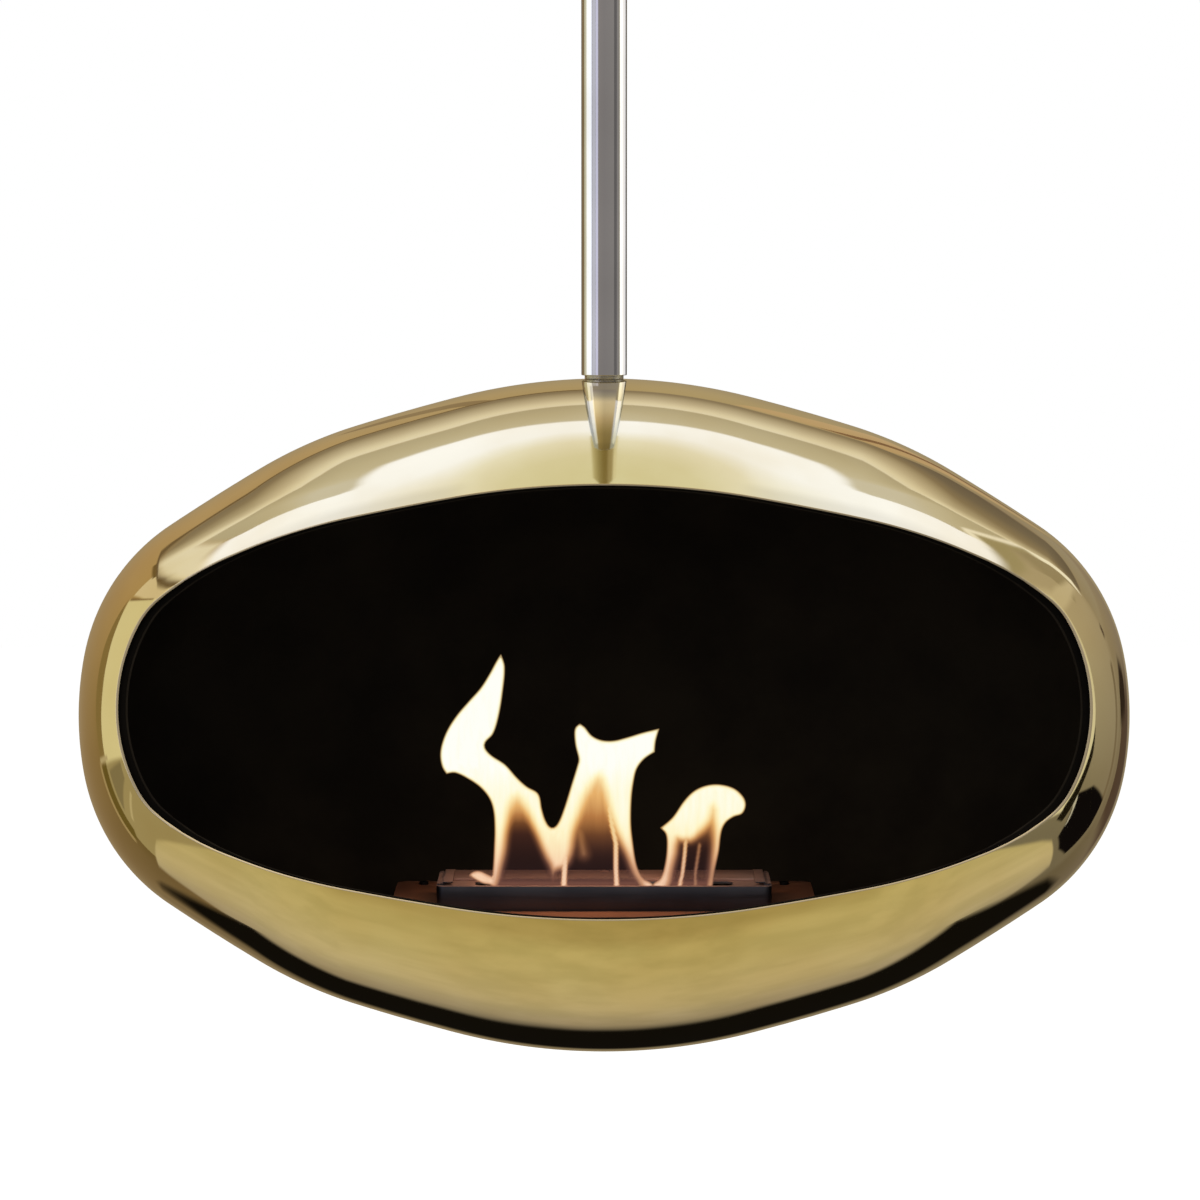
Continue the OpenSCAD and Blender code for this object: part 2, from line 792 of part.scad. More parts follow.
// Folded guide: a foot on the deck, a web beside the lid and a lip over it
module lid_guide(side) {
    half_len = deck_depth / 2 - deck_corner_r;
    color(steel) difference() {
        translate([side * guide_web_x, 0, axis_z]) rotate([90, 0, 0])
            linear_extrude(2 * half_len, center = true) mirror([side < 0 ? 1 : 0, 0]) {
                translate([0, deck_top]) square([guide_foot_w - guide_foot_gap, guide_t]);
                translate([0, deck_top]) square([guide_t, guide_lip_z + guide_t - deck_top]);
                translate([-guide_lip_w, guide_lip_z]) square([guide_lip_w + guide_t, guide_t]);
            }
        rivet_places() translate([0, 0, -2 * guide_t]) cylinder(d = rivet_d, h = 4 * guide_t);
    }
}

module guide_rivets() {
    color(steel) rivet_places() {
        translate([0, 0, -guide_t - deck_t]) cylinder(d = rivet_d, h = guide_t + deck_t);
        cylinder(d = rivet_d * head_ratio, h = rivet_d * head_height / 2);
    }
}

module burner_lid() {
    color("slategray") difference() {
        slab(lid_bottom, lid_top) translate([0, (lid_front + lid_back) / 2])
            plate_outline(2 * lid_half_w, lid_back - lid_front, lid_corner_r);
        slab(lid_bottom - eps, lid_top + eps) translate([0, lid_hole_y]) circle(d = lid_hole_d);
    }
}

ceiling_plate();
housing_screws();
bearing_housing();
guide_bush();
lower_race();
ceiling_cover();
cover_screws();
bearing_balls();
bearing_cage();
upper_race();
nut_washer();
lock_nut();
pole_plug();
pole();
pole_neck();
neck_screws();
pod_shell();
crown_doubler();
crown_boss();
pod_liner();
mouth_frame();
liner_spacers();
liner_screws();
burner_tray();
tray_rail(-1);  // tray_rail_left
tray_rail(1);  // tray_rail_right
tray_screws();
burner_tank();
fibre_block();
burner_deck();
lid_guide(-1);  // lid_guide_left
lid_guide(1);  // lid_guide_right
guide_rivets();
burner_lid();
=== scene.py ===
import json
import math

import bmesh
import bpy
import numpy as np
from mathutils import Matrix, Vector
from mathutils.geometry import delaunay_2d_cdt


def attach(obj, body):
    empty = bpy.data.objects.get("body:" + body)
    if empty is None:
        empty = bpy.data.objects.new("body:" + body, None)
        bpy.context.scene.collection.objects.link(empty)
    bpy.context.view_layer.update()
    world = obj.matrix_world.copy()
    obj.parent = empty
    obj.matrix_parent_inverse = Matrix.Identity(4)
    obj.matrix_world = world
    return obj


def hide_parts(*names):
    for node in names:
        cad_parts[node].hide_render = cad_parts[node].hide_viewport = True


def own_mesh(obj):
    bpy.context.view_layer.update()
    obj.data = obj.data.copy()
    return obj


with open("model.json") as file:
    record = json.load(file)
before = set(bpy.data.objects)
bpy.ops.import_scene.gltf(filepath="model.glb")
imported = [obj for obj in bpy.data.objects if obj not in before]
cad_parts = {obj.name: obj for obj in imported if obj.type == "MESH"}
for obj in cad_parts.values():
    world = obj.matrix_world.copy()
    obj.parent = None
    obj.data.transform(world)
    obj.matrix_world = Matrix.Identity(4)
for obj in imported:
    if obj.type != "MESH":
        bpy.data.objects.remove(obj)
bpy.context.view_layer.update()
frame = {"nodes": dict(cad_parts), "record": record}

MM = 0.001
record = frame["record"]
nodes = frame["nodes"]

# ---- sizes, in millimetres and degrees
AXIS_Z = -826.6
CROWN_Z = -512.2
POD_R = 314.4
ARC_RADII = (551.0, 1900.0, 419.0, 2030.0, 184.0)
ARC_SLOPES = (0.0, 14.35, 17.35, 30.8, 33.6, 78.3)
SHELL_T = 2.0
LINER_OUTSIDE = 10.0
LINER_INSIDE = 11.5
# These two are turned into radians
MOUTH_PITCH = math.radians(8.6)
MOUTH_HALF_ANGLE = math.radians(37.9)
MOUTH_END = 144.8
MOUTH_CORNER_R = 72.0
FRAME_SETBACK = 5.5
FRAME_T = 1.5
BOSS_HOLE_R = 33.0
NECK_HOLE_R = 18.55
POLE_R = 21.2
POLE_BORE_R = 18.2
POLE_TOP = -51.0
POLE_FOOT = -509.0
NECK_SCREW_Z = (-454.0, -484.0)
NECK_SCREW_R = 3.0
COVER_R = 84.0
COVER_T = 1.5
COVER_EDGE_R = 16.0
COVER_BORE_R = 22.2
COVER_BOTTOM = -47.5
COVER_TOP = -1.0
COVER_SCREW_CIRCLE_R = 40.0
COVER_SCREW_R = 2.0
SLOT_Y = -30.0

# How finely the new pieces are made, in millimetres, counts and degrees
SHELL_EDGE_R = 0.95
SHELL_STATIONS = 100
# How far the normals turn at the outer edge of the shell's rim, in degrees, and how much more at the inner
RIM_TURN, RIM_TURN_MORE = 46, 14
RIM_MARGIN = 0.02
# How near to the outline's formula a point counts as on the skin
ON_SKIN = 0.004
LINER_EDGE_R = 0.5
LINER_STATIONS = 72
FRAME_FOLD_R = 0.3
FRAME_GAP = 0.05
POLE_EDGE_R = 0.8
BEVEL_SEGMENTS = 2
BEVEL_FROM_DEGREES = 35
POLE_SIDES, COVER_SIDES, SCREW_HOLE_SIDES = 160, 192, 32
BISECT_STEPS = 48
# How far the rods that cut holes reach: below and above the crown, and past other walls
CUT_BELOW, CUT_ABOVE, CUT_PAST = 30, 10, 5


# ---- the pod's outline
def make_arcs():
    """The outline's arcs: centre along the axis, centre from the axis, radius, first and last slope."""
    centre = (0.0, POD_R - ARC_RADII[0])
    arcs = []
    for i, radius in enumerate(ARC_RADII):
        if i:
            step = ARC_RADII[i - 1] - radius
            slope = math.radians(ARC_SLOPES[i])
            centre = (centre[0] + step * math.sin(slope), centre[1] + step * math.cos(slope))
        arcs.append((centre[0], centre[1], radius, ARC_SLOPES[i], ARC_SLOPES[i + 1]))
    last = math.radians(ARC_SLOPES[-1])
    tip_r = ARC_RADII[-1] + centre[1] / math.cos(last)
    tip_x = centre[0] + (ARC_RADII[-1] - tip_r) * math.sin(last)
    arcs.append((tip_x, 0.0, tip_r, ARC_SLOPES[-1], 90.0))
    return arcs


ARCS = make_arcs()


def outline_point(slope, inset):
    """(distance along the pod's axis, distance from it) where the skin has this slope, in degrees."""
    for cx, cr, radius, first, last in ARCS:
        if slope <= last:
            s = math.radians(slope)
            return cx + (radius - inset) * math.sin(s), cr + (radius - inset) * math.cos(s)
    return ARCS[-1][0] + ARCS[-1][2] - inset, 0.0


def bisect(low, high, is_low):
    """Where is_low turns false between two numbers."""
    for _ in range(BISECT_STEPS):
        middle = (low + high) / 2
        if is_low(middle):
            low = middle
        else:
            high = middle
    return (low + high) / 2


def in_mouth(u, v, grow):
    """Whether a point u out along the mouth's direction and v above it lies in the mouth's space."""
    end = MOUTH_END - grow
    r = MOUTH_CORNER_R + grow
    rise = math.tan(MOUTH_HALF_ANGLE)
    shift = grow / math.cos(MOUTH_HALF_ANGLE)
    cu, cv = end + r, (end + r) * rise + shift - r / math.cos(MOUTH_HALF_ANGLE)
    du, dv = cu - u, v - cv
    if du > 0 and dv > 0 and math.atan2(dv, du) < math.pi / 2 - MOUTH_HALF_ANGLE:
        return math.hypot(du, dv) < r
    return u > end and v < u * rise + shift


def mouth_angle(radius, grow):
    """Angle from the mouth's middle to its edge, on a circle of this radius round the pod's axis."""
    if radius <= MOUTH_END - grow:
        return 0.0
    return bisect(0.0, math.pi / 2, lambda a: in_mouth(radius * math.cos(a), radius * math.sin(a), grow))


def pod_point(x, radius, angle):
    """A place in the row frame, from the place along the axis, the distance from it and the angle."""
    a = angle + MOUTH_PITCH
    return (x * MM, -radius * math.cos(a) * MM, (AXIS_Z + radius * math.sin(a)) * MM)


def outline_normals(co, inset):
    """Normals of the pod's skin at points in the row frame, and how far the points lie off it, in mm."""
    x = np.abs(co[:, 0]) / MM
    y, z = co[:, 1] / MM, co[:, 2] / MM - AXIS_Z
    radius = np.hypot(y, z)
    sin_s = np.zeros(len(x))
    skin = np.zeros(len(x))
    todo = np.ones(len(x), bool)
    for cx, cr, arc_r, _, last in ARCS:
        end = cx + (arc_r - inset) * math.sin(math.radians(last))
        here = todo & ((x <= end + 1e-9) | (last == 90.0))
        t = np.clip((x - cx) / (arc_r - inset), 0, 1)
        sin_s = np.where(here, t, sin_s)
        skin = np.where(here, cr + (arc_r - inset) * np.sqrt(1 - t * t), skin)
        todo &= ~here
    cos_s = np.sqrt(1 - sin_s**2)
    away = np.maximum(radius, 1e-9)
    normal = np.stack([np.sign(co[:, 0]) * sin_s, cos_s * y / away, cos_s * z / away], 1)
    return normal, np.abs(radius - skin) * np.maximum(cos_s, 0.05)


# ---- mesh helpers
class Surface:
    """Gathers grids of points into one welded mesh."""

    def __init__(self):
        self.verts, self.faces, self.index = [], [], {}

    def vertex(self, p):
        """The number of the point here, made if it is new."""
        key = tuple(round(c * 1e7) for c in p)
        if key not in self.index:
            self.index[key] = len(self.verts)
            self.verts.append(tuple(p))
        return self.index[key]

    def grid(self, rows):
        """Faces between rows of points, without the corners that fall together."""
        ids = [[self.vertex(p) for p in row] for row in rows]
        for a, b in zip(ids, ids[1:]):
            for i in range(len(a) - 1):
                corner = [a[i], a[i + 1], b[i + 1], b[i]]
                face = [c for k, c in enumerate(corner) if c != corner[k - 1]]
                if len(set(face)) >= 3:
                    self.faces.append(face)

    def build(self, name):
        """An object of all the faces, turned outwards."""
        mesh = bpy.data.meshes.new(name)
        mesh.from_pydata(self.verts, [], self.faces)
        bm = bmesh.new()
        bm.from_mesh(mesh)
        bmesh.ops.recalc_face_normals(bm, faces=bm.faces)
        bm.to_mesh(mesh)
        bm.free()
        return link(name, mesh)


def link(name, data):
    """A mesh, lamp or camera as an object in the scene. Meshes are shaded smooth."""
    obj = bpy.data.objects.new(name, data)
    bpy.context.scene.collection.objects.link(obj)
    if isinstance(data, bpy.types.Mesh):
        shade_smooth(data)
    return obj


def shade_smooth(mesh):
    for poly in mesh.polygons:
        poly.use_smooth = True


def settle(obj):
    """Applies the object's modifiers to its mesh."""
    graph = bpy.context.evaluated_depsgraph_get()
    mesh = bpy.data.meshes.new_from_object(obj.evaluated_get(graph))
    obj.modifiers.clear()
    obj.data = mesh


def cut(obj, cutters):
    """Takes the cutters' forms away from an object, and deletes them."""
    for cutter in cutters:
        mod = obj.modifiers.new("cut", "BOOLEAN")
        mod.operation, mod.solver, mod.object = "DIFFERENCE", "EXACT", cutter
    settle(obj)
    for cutter in cutters:
        bpy.data.objects.remove(cutter)


def rod(radius, start, end, sides):
    """A closed round rod between two points, in millimetres, used to cut holes."""
    a, b = Vector(start) * MM, Vector(end) * MM
    bm = bmesh.new()
    bmesh.ops.create_cone(bm, cap_ends=True, segments=sides, radius1=radius * MM,
                          radius2=radius * MM, depth=(b - a).length)
    bm.transform((b - a).to_track_quat("Z", "Y").to_matrix().to_4x4())
    bmesh.ops.translate(bm, vec=(a + b) / 2, verts=bm.verts)
    mesh = bpy.data.meshes.new("cutter")
    bm.to_mesh(mesh)
    bm.free()
    return link("cutter", mesh)


def crown_hole(radius, sides):
    """A rod through the skins at the pod's crown."""
    return rod(radius, (0, 0, CROWN_Z - CUT_BELOW), (0, 0, CROWN_Z + CUT_ABOVE), sides)


def read(items, name, width=3):
    """The values of one property of a mesh's items, as rows of this width."""
    values = np.zeros(len(items) * width)
    items.foreach_get(name, values)
    return values.reshape(-1, width)


def set_normals(obj, normal_of):
    """Gives face corners the normals of normal_of(points, face normals). A zero leaves them their own."""
    mesh = obj.data
    corner_vert = read(mesh.loops, "vertex_index", 1)[:, 0].astype(int)
    co = read(mesh.vertices, "co")[corner_vert]
    corners = read(mesh.polygons, "loop_total", 1)[:, 0].astype(int)
    face = np.repeat(read(mesh.polygons, "normal"), corners, axis=0)
    own = read(mesh.corner_normals, "vector")
    wanted = normal_of(co, face)
    missing = np.linalg.norm(wanted, axis=1) < 0.5
    wanted[missing] = own[missing]
    mesh.normals_split_custom_set(wanted.tolist())


def lathe(name, outline, count, holes):
    """Turns a closed outline of (distance from Z, height) points round the Z axis, and cuts its holes."""
    turns = np.linspace(0, 2 * math.pi, count + 1)
    surface = Surface()
    surface.grid([[(r * math.cos(a) * MM, r * math.sin(a) * MM, z * MM) for a in turns]
                  for r, z in outline + outline[:1]])
    obj = surface.build(name)
    cut(obj, holes)
    return obj


def arc(centre, radius, first, last, count):
    """Points of an arc between two angles, in degrees, as (distance from Z, height)."""
    return [(centre[0] + radius * math.cos(math.radians(a)), centre[1] + radius * math.sin(math.radians(a)))
            for a in np.linspace(first, last, count + 1)]


def sharpen_from(obj, degrees):
    """Leaves edges sharp that turn by more than this angle."""
    obj.data.set_sharp_from_angle(angle=math.radians(degrees))


def bevelled_copy(node, width):
    """The CAD node's form with its edges broken by a small round, width across."""
    name = node + "_edged"
    mesh = nodes[node].data.copy()
    mesh.name = name
    mesh.materials.clear()
    obj = link(name, mesh)
    bm = bmesh.new()
    bm.from_mesh(mesh)
    bmesh.ops.remove_doubles(bm, verts=bm.verts, dist=1e-6)
    bmesh.ops.dissolve_limit(bm, angle_limit=math.radians(1.0), verts=bm.verts, edges=bm.edges)
    bm.to_mesh(mesh)
    bm.free()
    mesh.normals_split_custom_set([(0, 0, 0)] * len(mesh.loops))
    mod = obj.modifiers.new("edges", "BEVEL")
    mod.width, mod.segments, mod.limit_method = width * MM, BEVEL_SEGMENTS, "ANGLE"
    mod.angle_limit = math.radians(BEVEL_FROM_DEGREES)
    mod.harden_normals = False
    settle(obj)
    shade_smooth(obj.data)
    sharpen_from(obj, 30)
    return obj


def finish_piece(obj, node, material=None):
    """Gives a piece its material and its body, and hides the CAD node that it stands for."""
    slot = SLOT_OF_NODE[node]
    obj.data.materials.clear()
    obj.data.materials.append(material or MATERIAL_OF_SLOT[slot])
    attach(obj, BODY_OF_NODE[node])
    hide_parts(node)


# ---- material helpers
class Nodes:
    """Writes a node tree with short calls."""

    def __init__(self, tree, keep=False):
        self.tree = tree
        if not keep:
            self.tree.nodes.clear()

    def new(self, kind):
        return self.tree.nodes.new("ShaderNode" + kind)

    def attribute(self, name):
        """A number that the mesh holds at its points."""
        node = self.new("Attribute")
        node.attribute_name = name
        return node.outputs["Fac"]

    def split(self, vector):
        node = self.new("SeparateXYZ")
        self.feed(node.inputs[0], vector)
        return node.outputs

    def feed(self, socket, value):
        """Links an output to an input, or sets a value."""
        if isinstance(value, bpy.types.NodeSocket):
            self.tree.links.new(value, socket)
        else:
            socket.default_value = value

    def math(self, operation, a, b=None):
        node = self.new("Math")
        node.operation = operation
        self.feed(node.inputs[0], a)
        if b is not None:
            self.feed(node.inputs[1], b)
        return node.outputs[0]

    def times(self, a, b):
        return self.math("MULTIPLY", a, b)

    def plus(self, a, b):
        return self.math("ADD", a, b)

    def minus(self, a, b):
        return self.math("SUBTRACT", a, b)

    def least(self, a, b):
        return self.math("MINIMUM", a, b)

    def shade(self, colour, by):
        """A colour times a colour or a number."""
        return self.mix(1.0, colour, by, "MULTIPLY")

    def mix(self, factor, a, b, blend="MIX"):
        node = self.new("Mix")
        node.data_type, node.blend_type = "RGBA", blend
        self.feed(node.inputs[0], factor)
        self.feed(node.inputs[6], a)
        self.feed(node.inputs[7], b)
        return node.outputs[2]

    def remap(self, value, old_low, old_high, low, high, kind="LINEAR"):
        """Turns old_low into low and old_high into high, and stops there."""
        node = self.new("MapRange")
        node.interpolation_type = kind
        for socket, x in zip(node.inputs[:5], (value, old_low, old_high, low, high)):
            self.feed(socket, x)
        return node.outputs[0]

    def along(self, value, stops):
        """A colour that changes along a value. Stops are (value, red, green, blue)."""
        first, last = stops[0][0], stops[-1][0]
        node = self.new("ValToRGB")
        elements = node.color_ramp.elements
        while len(elements) < len(stops):
            elements.new(0.5)
        for element, (x, *colour) in zip(elements, stops):
            element.position = (x - first) / (last - first)
            element.color = (*colour, 1)
        self.feed(node.inputs[0], self.remap(value, first, last, 0.0, 1.0))
        return node.outputs[0]

    def graph(self, value, points):
        """A number that changes along a value, straight between (value, number) points."""
        node = self.new("FloatCurve")
        node.mapping.use_clip = False
        node.mapping.extend = "HORIZONTAL"
        curve = node.mapping.curves[0]
        while len(curve.points) < len(points):
            curve.points.new(0.0, 0.0)
        for spot, point in zip(curve.points, points):
            spot.location = point
            spot.handle_type = "VECTOR"
        node.mapping.update()
        self.feed(node.inputs["Value"], value)
        return node.outputs[0]

    def steps(self, value, low, high):
        """0 below low, 1 above high, smooth between; falls instead of rising if low is above high."""
        if low < high:
            return self.remap(value, low, high, 0.0, 1.0, "SMOOTHSTEP")
        return self.remap(value, high, low, 1.0, 0.0, "SMOOTHSTEP")

    def between(self, value, low, high, soft):
        """1 between low and high, 0 outside."""
        return self.times(self.steps(value, low - soft, low + soft),
                         self.steps(value, high + soft, high - soft))

    def give(self, node, **values):
        """Feeds a node's inputs by name. An underscore stands for a space."""
        for name, value in values.items():
            self.feed(node.inputs[name.replace("_", " ")], value)

    def fed(self, kind, **values):
        """The first output of a new node with these inputs."""
        node = self.new(kind)
        self.give(node, **values)
        return node.outputs[0]

    def place(self, scale=(1, 1, 1), rotation=(0, 0, 0)):
        """The place on the object, stretched and turned."""
        where = self.new("TexCoord").outputs["Object"]
        return self.fed("Mapping", Vector=where, Scale=scale, Rotation=rotation)

    def noise(self, vector, scale, detail=2.0, roughness=0.5):
        return self.fed("TexNoise", Vector=vector, Scale=scale, Detail=detail, Roughness=roughness)

    def bump(self, height, distance):
        return self.fed("Bump", Strength=1.0, Distance=distance, Height=height)


def shader(name, **fixed):
    """A material whose shader has these fixed values. Returns the material, its nodes and its shader."""
    material = bpy.data.materials.new(name)
    material.use_nodes = True
    t = Nodes(material.node_tree)
    principled = t.new("BsdfPrincipled")
    t.give(t.new("OutputMaterial"), Surface=principled.outputs[0])
    t.give(principled, **fixed)
    return material, t, principled


def shader_of(material):
    """The nodes and the shader of a material, and a reader for what feeds the shader's inputs."""
    t = Nodes(material.node_tree, keep=True)
    principled = t.tree.nodes["Principled BSDF"]
    return t, principled, lambda name: principled.inputs[name].links[0].from_socket


def metal(name, dark, light, roughness, grain, grain_scale=(1, 1, 1), bump=0.0, wave=0.0, metallic=1.0,
          edge_tint=(1, 1, 1)):
    """Bare metal: its colour drifts between two tones, and fine grain varies its gloss."""
    material, t, p = shader(name, Metallic=metallic, Specular_Tint=(*edge_tint, 1))
    drift = t.noise(t.place(), 9.0, 3.0)
    t.give(p, Base_Color=t.mix(t.steps(drift, 0.3, 0.7), (*dark, 1), (*light, 1)))
    fine = t.noise(t.place(grain_scale), grain, 3.0, 0.6)
    low, high = roughness
    t.give(p, Roughness=t.remap(fine, 0.3, 0.7, low, high))
    height = fine
    if wave:
        slow = t.noise(t.place(), 14.0, 1.0)
        height = t.plus(t.times(fine, bump / wave), slow)
    if bump or wave:
        t.give(p, Normal=t.bump(height, wave or bump))
    return material


def paint(name, dark, light, roughness, grain, bump, gloss=0.5):
    """Heat-resistant paint: fine mist of the spray, with a slow drift of tone."""
    material, t, p = shader(name, Metallic=0.0, IOR=1.45, Specular_IOR_Level=gloss)
    drift = t.noise(t.place(), 7.0, 4.0, 0.6)
    mist = t.noise(t.place(), grain, 2.0, 0.7)
    tone = t.plus(t.times(drift, 0.7), t.times(mist, 0.3))
    t.give(p, Base_Color=t.mix(t.steps(tone, 0.35, 0.65), (*dark, 1), (*light, 1)))
    t.give(p, Roughness=t.remap(mist, 0.0, 1.0, *roughness))
    t.give(p, Normal=t.bump(mist, bump))
    return material


def make_gold():
    """Mirror-polished gold plate, less glossy where the mesh marks its edge, and paler there: a painted
    highlight along the rim.
    """
    material = metal("polished_gold", (0.80, 0.68, 0.38), (0.86, 0.76, 0.46), (0.03, 0.05), 260.0,
                     (1, 0.12, 0.12), wave=0.00002)
    t, p, now = shader_of(material)
    rim = t.attribute("rim")
    # Painted highlight: the rim's base colour turns pale
    t.give(p, Base_Color=t.mix(rim, now("Base Color"), (1.0, 0.86, 0.56, 1)))
    t.give(p, Roughness=t.plus(now("Roughness"), t.times(rim, 0.16)))
    return material


def make_burner_steel():
    """Brushed steel, dark blue-grey on its sides. On top it is duller, and its pinkish-brown tone there is
    painted firelight.
    """
    material = metal("burner_steel", (0.058, 0.062, 0.078), (0.115, 0.118, 0.14), (0.30, 0.46), 500.0,
                     (0.04, 1, 1), bump=0.00001)
    t, p, now = shader_of(material)
    _, _, up = t.split(t.new("NewGeometry").outputs["Normal"])
    # Painted firelight: faces that look up turn pinkish brown and less metallic
    top = t.steps(up, 0.6, 0.9)
    tint = t.mix(t.noise(t.place((0.3, 1, 1)), 60.0), (0.30, 0.165, 0.135, 1), (0.46, 0.29, 0.24, 1))
    t.give(p, Base_Color=t.mix(top, now("Base Color"), tint))
    t.give(p, Metallic=t.remap(top, 0.0, 1.0, 1.0, 0.6))
    t.give(p, Roughness=t.plus(now("Roughness"), t.times(top, 0.12)))
    return material


def make_wool():
    """White ceramic wool: fine hair lying one way, in soft tufts."""
    material, t, p = shader("ceramic_wool", Roughness=1.0, Metallic=0.0)
    hair = t.noise(t.place((1, 5, 1), (0, 0, 0.5)), 260.0, 5.0, 0.75)
    tuft = t.noise(t.place(), 60.0, 3.0)
    tone = t.plus(t.times(hair, 0.6), t.times(tuft, 0.4))
    light = t.steps(tone, 0.3, 0.65)
    t.give(p, Base_Color=t.mix(light, (0.50, 0.47, 0.42, 1), (0.80, 0.78, 0.73, 1)))
    t.give(p, Normal=t.bump(tone, 0.0008))
    return material


# Colours are linear
MATERIAL_OF_SLOT = {
    "polished_gold": make_gold(),
    "polished_steel": metal(
        "mirror_steel", (0.72, 0.72, 0.73), (0.80, 0.80, 0.81), (0.04, 0.08), 400.0, (1, 1, 0.05),
        bump=0.000002, edge_tint=(0.48, 0.52, 0.58)),
    "machined_steel": metal(
        "turned_steel", (0.46, 0.47, 0.48), (0.58, 0.59, 0.60), (0.22, 0.38), 900.0, (0.2, 0.2, 2),
        bump=0.00001),
    "zinc_steel": metal(
        "zinc_plate", (0.50, 0.51, 0.50), (0.66, 0.67, 0.68), (0.28, 0.45), 220.0, bump=0.00002),
    "bearing_steel": metal("bearing_steel", (0.62, 0.63, 0.66), (0.74, 0.75, 0.77), (0.06, 0.14), 700.0),
    "bronze": metal(
        "sintered_bronze", (0.42, 0.24, 0.09), (0.60, 0.38, 0.17), (0.35, 0.55), 1500.0, bump=0.00003),
    "black_screws": metal(
        "black_oxide", (0.020, 0.020, 0.022), (0.045, 0.045, 0.050), (0.32, 0.5), 900.0, bump=0.00001),
    # The lid's pinkish-brown tone is painted firelight
    "lid_steel": metal(
        "lid_steel", (0.30, 0.165, 0.135), (0.43, 0.27, 0.225), (0.42, 0.58), 500.0, (0.04, 1, 1),
        bump=0.00001, metallic=0.6),
    "burner_steel": make_burner_steel(),
    "black_paint": paint(
        "black_paint", (0.0066, 0.0046, 0.0026), (0.0140, 0.0105, 0.0062), (0.7, 0.9), 1400.0, 0.00004,
        gloss=0.15),
    # A dark coat; its reddish-brown cast is painted firelight
    "tray_paint": paint(
        "tray_paint", (0.125, 0.045, 0.024), (0.23, 0.095, 0.050), (0.38, 0.52), 900.0, 0.00002),
    "ceramic_fibre": make_wool(),
}
# A darker copy of the black paint for the recessed frame: painted shade
shaded_frame_paint = paint("shaded_frame_paint", (0.0022, 0.0018, 0.0014), (0.0048, 0.0038, 0.0028), (0.7, 0.9), 1400.0,
                    0.00004, gloss=0.05)
SLOT_OF_NODE = {part["node"]: part["material_slot"] for part in record["subparts"]}
BODY_OF_NODE = {node: body for body, held in record["behaviour"]["bodies"].items() for node in held}
for node_name, node_obj in nodes.items():
    node_obj.data.materials.clear()
    node_obj.data.materials.append(MATERIAL_OF_SLOT[SLOT_OF_NODE[node_name]])


# ---- the pod's skins
def edge_stations(count, inset, grow):
    """(side, slope, mouth's angle) from the mouth's left end to its right one, closer near the ends."""
    tip = bisect(0.0, 90.0, lambda s: outline_point(s, inset)[1] > MOUTH_END - grow)
    right = []
    for k in range(count + 1):
        slope = tip * (1 - (1 - k / count) ** 2)
        angle = mouth_angle(outline_point(slope, inset)[1], grow) if k < count else 0.0
        right.append((1, slope, angle))
    return [(-1, slope, angle) for _, slope, angle in right[:0:-1]] + right


def edge_loop(count, inset, grow):
    """Upper and lower edge of the mouth on a skin at this inset, from the left tip to the right one."""
    upper, lower = [], []
    for side, slope, angle in edge_stations(count, inset, grow):
        x, r = outline_point(slope, inset)
        upper.append(pod_point(side * x, r, angle))
        lower.append(pod_point(side * x, r, 2 * math.pi - angle))
    upper[0] = lower[0]
    upper[-1] = lower[-1]
    return upper, lower


def add_skin(surface, count, inset, grow, columns, cap_rows):
    """One face of a skin: the part that the mouth opens, and the two closed ends."""
    stations = edge_stations(count, inset, grow)
    rows = []
    for side, slope, angle in stations:
        x, r = outline_point(slope, inset)
        rows.append([pod_point(side * x, r, angle + (2 * math.pi - 2 * angle) * j / columns)
                     for j in range(columns + 1)])
    rows[0][-1] = rows[0][0]
    rows[-1][-1] = rows[-1][0]
    surface.grid(rows)
    tip = stations[-1][1]
    for side in (-1, 1):
        ends = []
        for k in range(cap_rows + 1):
            x, r = outline_point(tip + (90 - tip) * k / cap_rows, inset)
            if k == cap_rows:
                r = 0.0
            row = [pod_point(side * x, r, 2 * math.pi * j / columns) for j in range(columns)]
            ends.append(row + [row[0]])
        surface.grid(ends)


def add_rim(surface, count, steps):
    """Joins the two faces of a skin round the mouth through a list of (inset, grow)."""
    loops = [edge_loop(count, inset, grow) for inset, grow in steps]
    surface.grid([upper for upper, _ in loops])
    surface.grid([lower for _, lower in loops])


def round_steps(thickness, start, grow, radius, count):
    """(inset, grow) across a rounded sheet edge, from its outer face to its inner one."""
    first = [(start + radius * (1 - math.cos(a)), grow + radius * (1 - math.sin(a)))
             for a in np.linspace(0, math.pi / 2, count + 1)]
    second = [(2 * start + thickness - inset, g) for inset, g in first[::-1]]
    return first + second


def make_shell():
    """The polished outer skin, with the neck's hole in its crown."""
    surface = Surface()
    add_skin(surface, SHELL_STATIONS, 0.0, SHELL_EDGE_R, columns=224, cap_rows=26)
    add_skin(surface, SHELL_STATIONS, SHELL_T, SHELL_EDGE_R, columns=32, cap_rows=10)
    add_rim(surface, SHELL_STATIONS, round_steps(SHELL_T, 0.0, 0.0, SHELL_EDGE_R, 4))
    obj = surface.build("pod_shell_spun")
    cut(obj, [crown_hole(NECK_HOLE_R, sides=96)])

    def normal_of(co, face):
        normal, off = outline_normals(co, 0.0)
        facing = np.einsum("ij,ij->i", normal, face)
        near = (off < ON_SKIN) & (facing > 0.7)
        # The rounded edge catches light as one soft line: its normals turn only a little across it
        across = face - facing[:, None] * normal
        across /= np.maximum(np.linalg.norm(across, axis=1), 1e-6)[:, None]
        turn = np.radians(RIM_TURN + RIM_TURN_MORE * np.clip(off / SHELL_T, 0, 1))[:, None]
        rim = (off < SHELL_T - 0.3) & (facing > -0.3) & (facing < 0.9) & ~near
        rolled = np.cos(turn) * normal + np.sin(turn) * across
        return np.where(near[:, None], normal, np.where(rim[:, None], rolled, 0.0))

    set_normals(obj, normal_of)
    mark_rim(obj)
    return obj


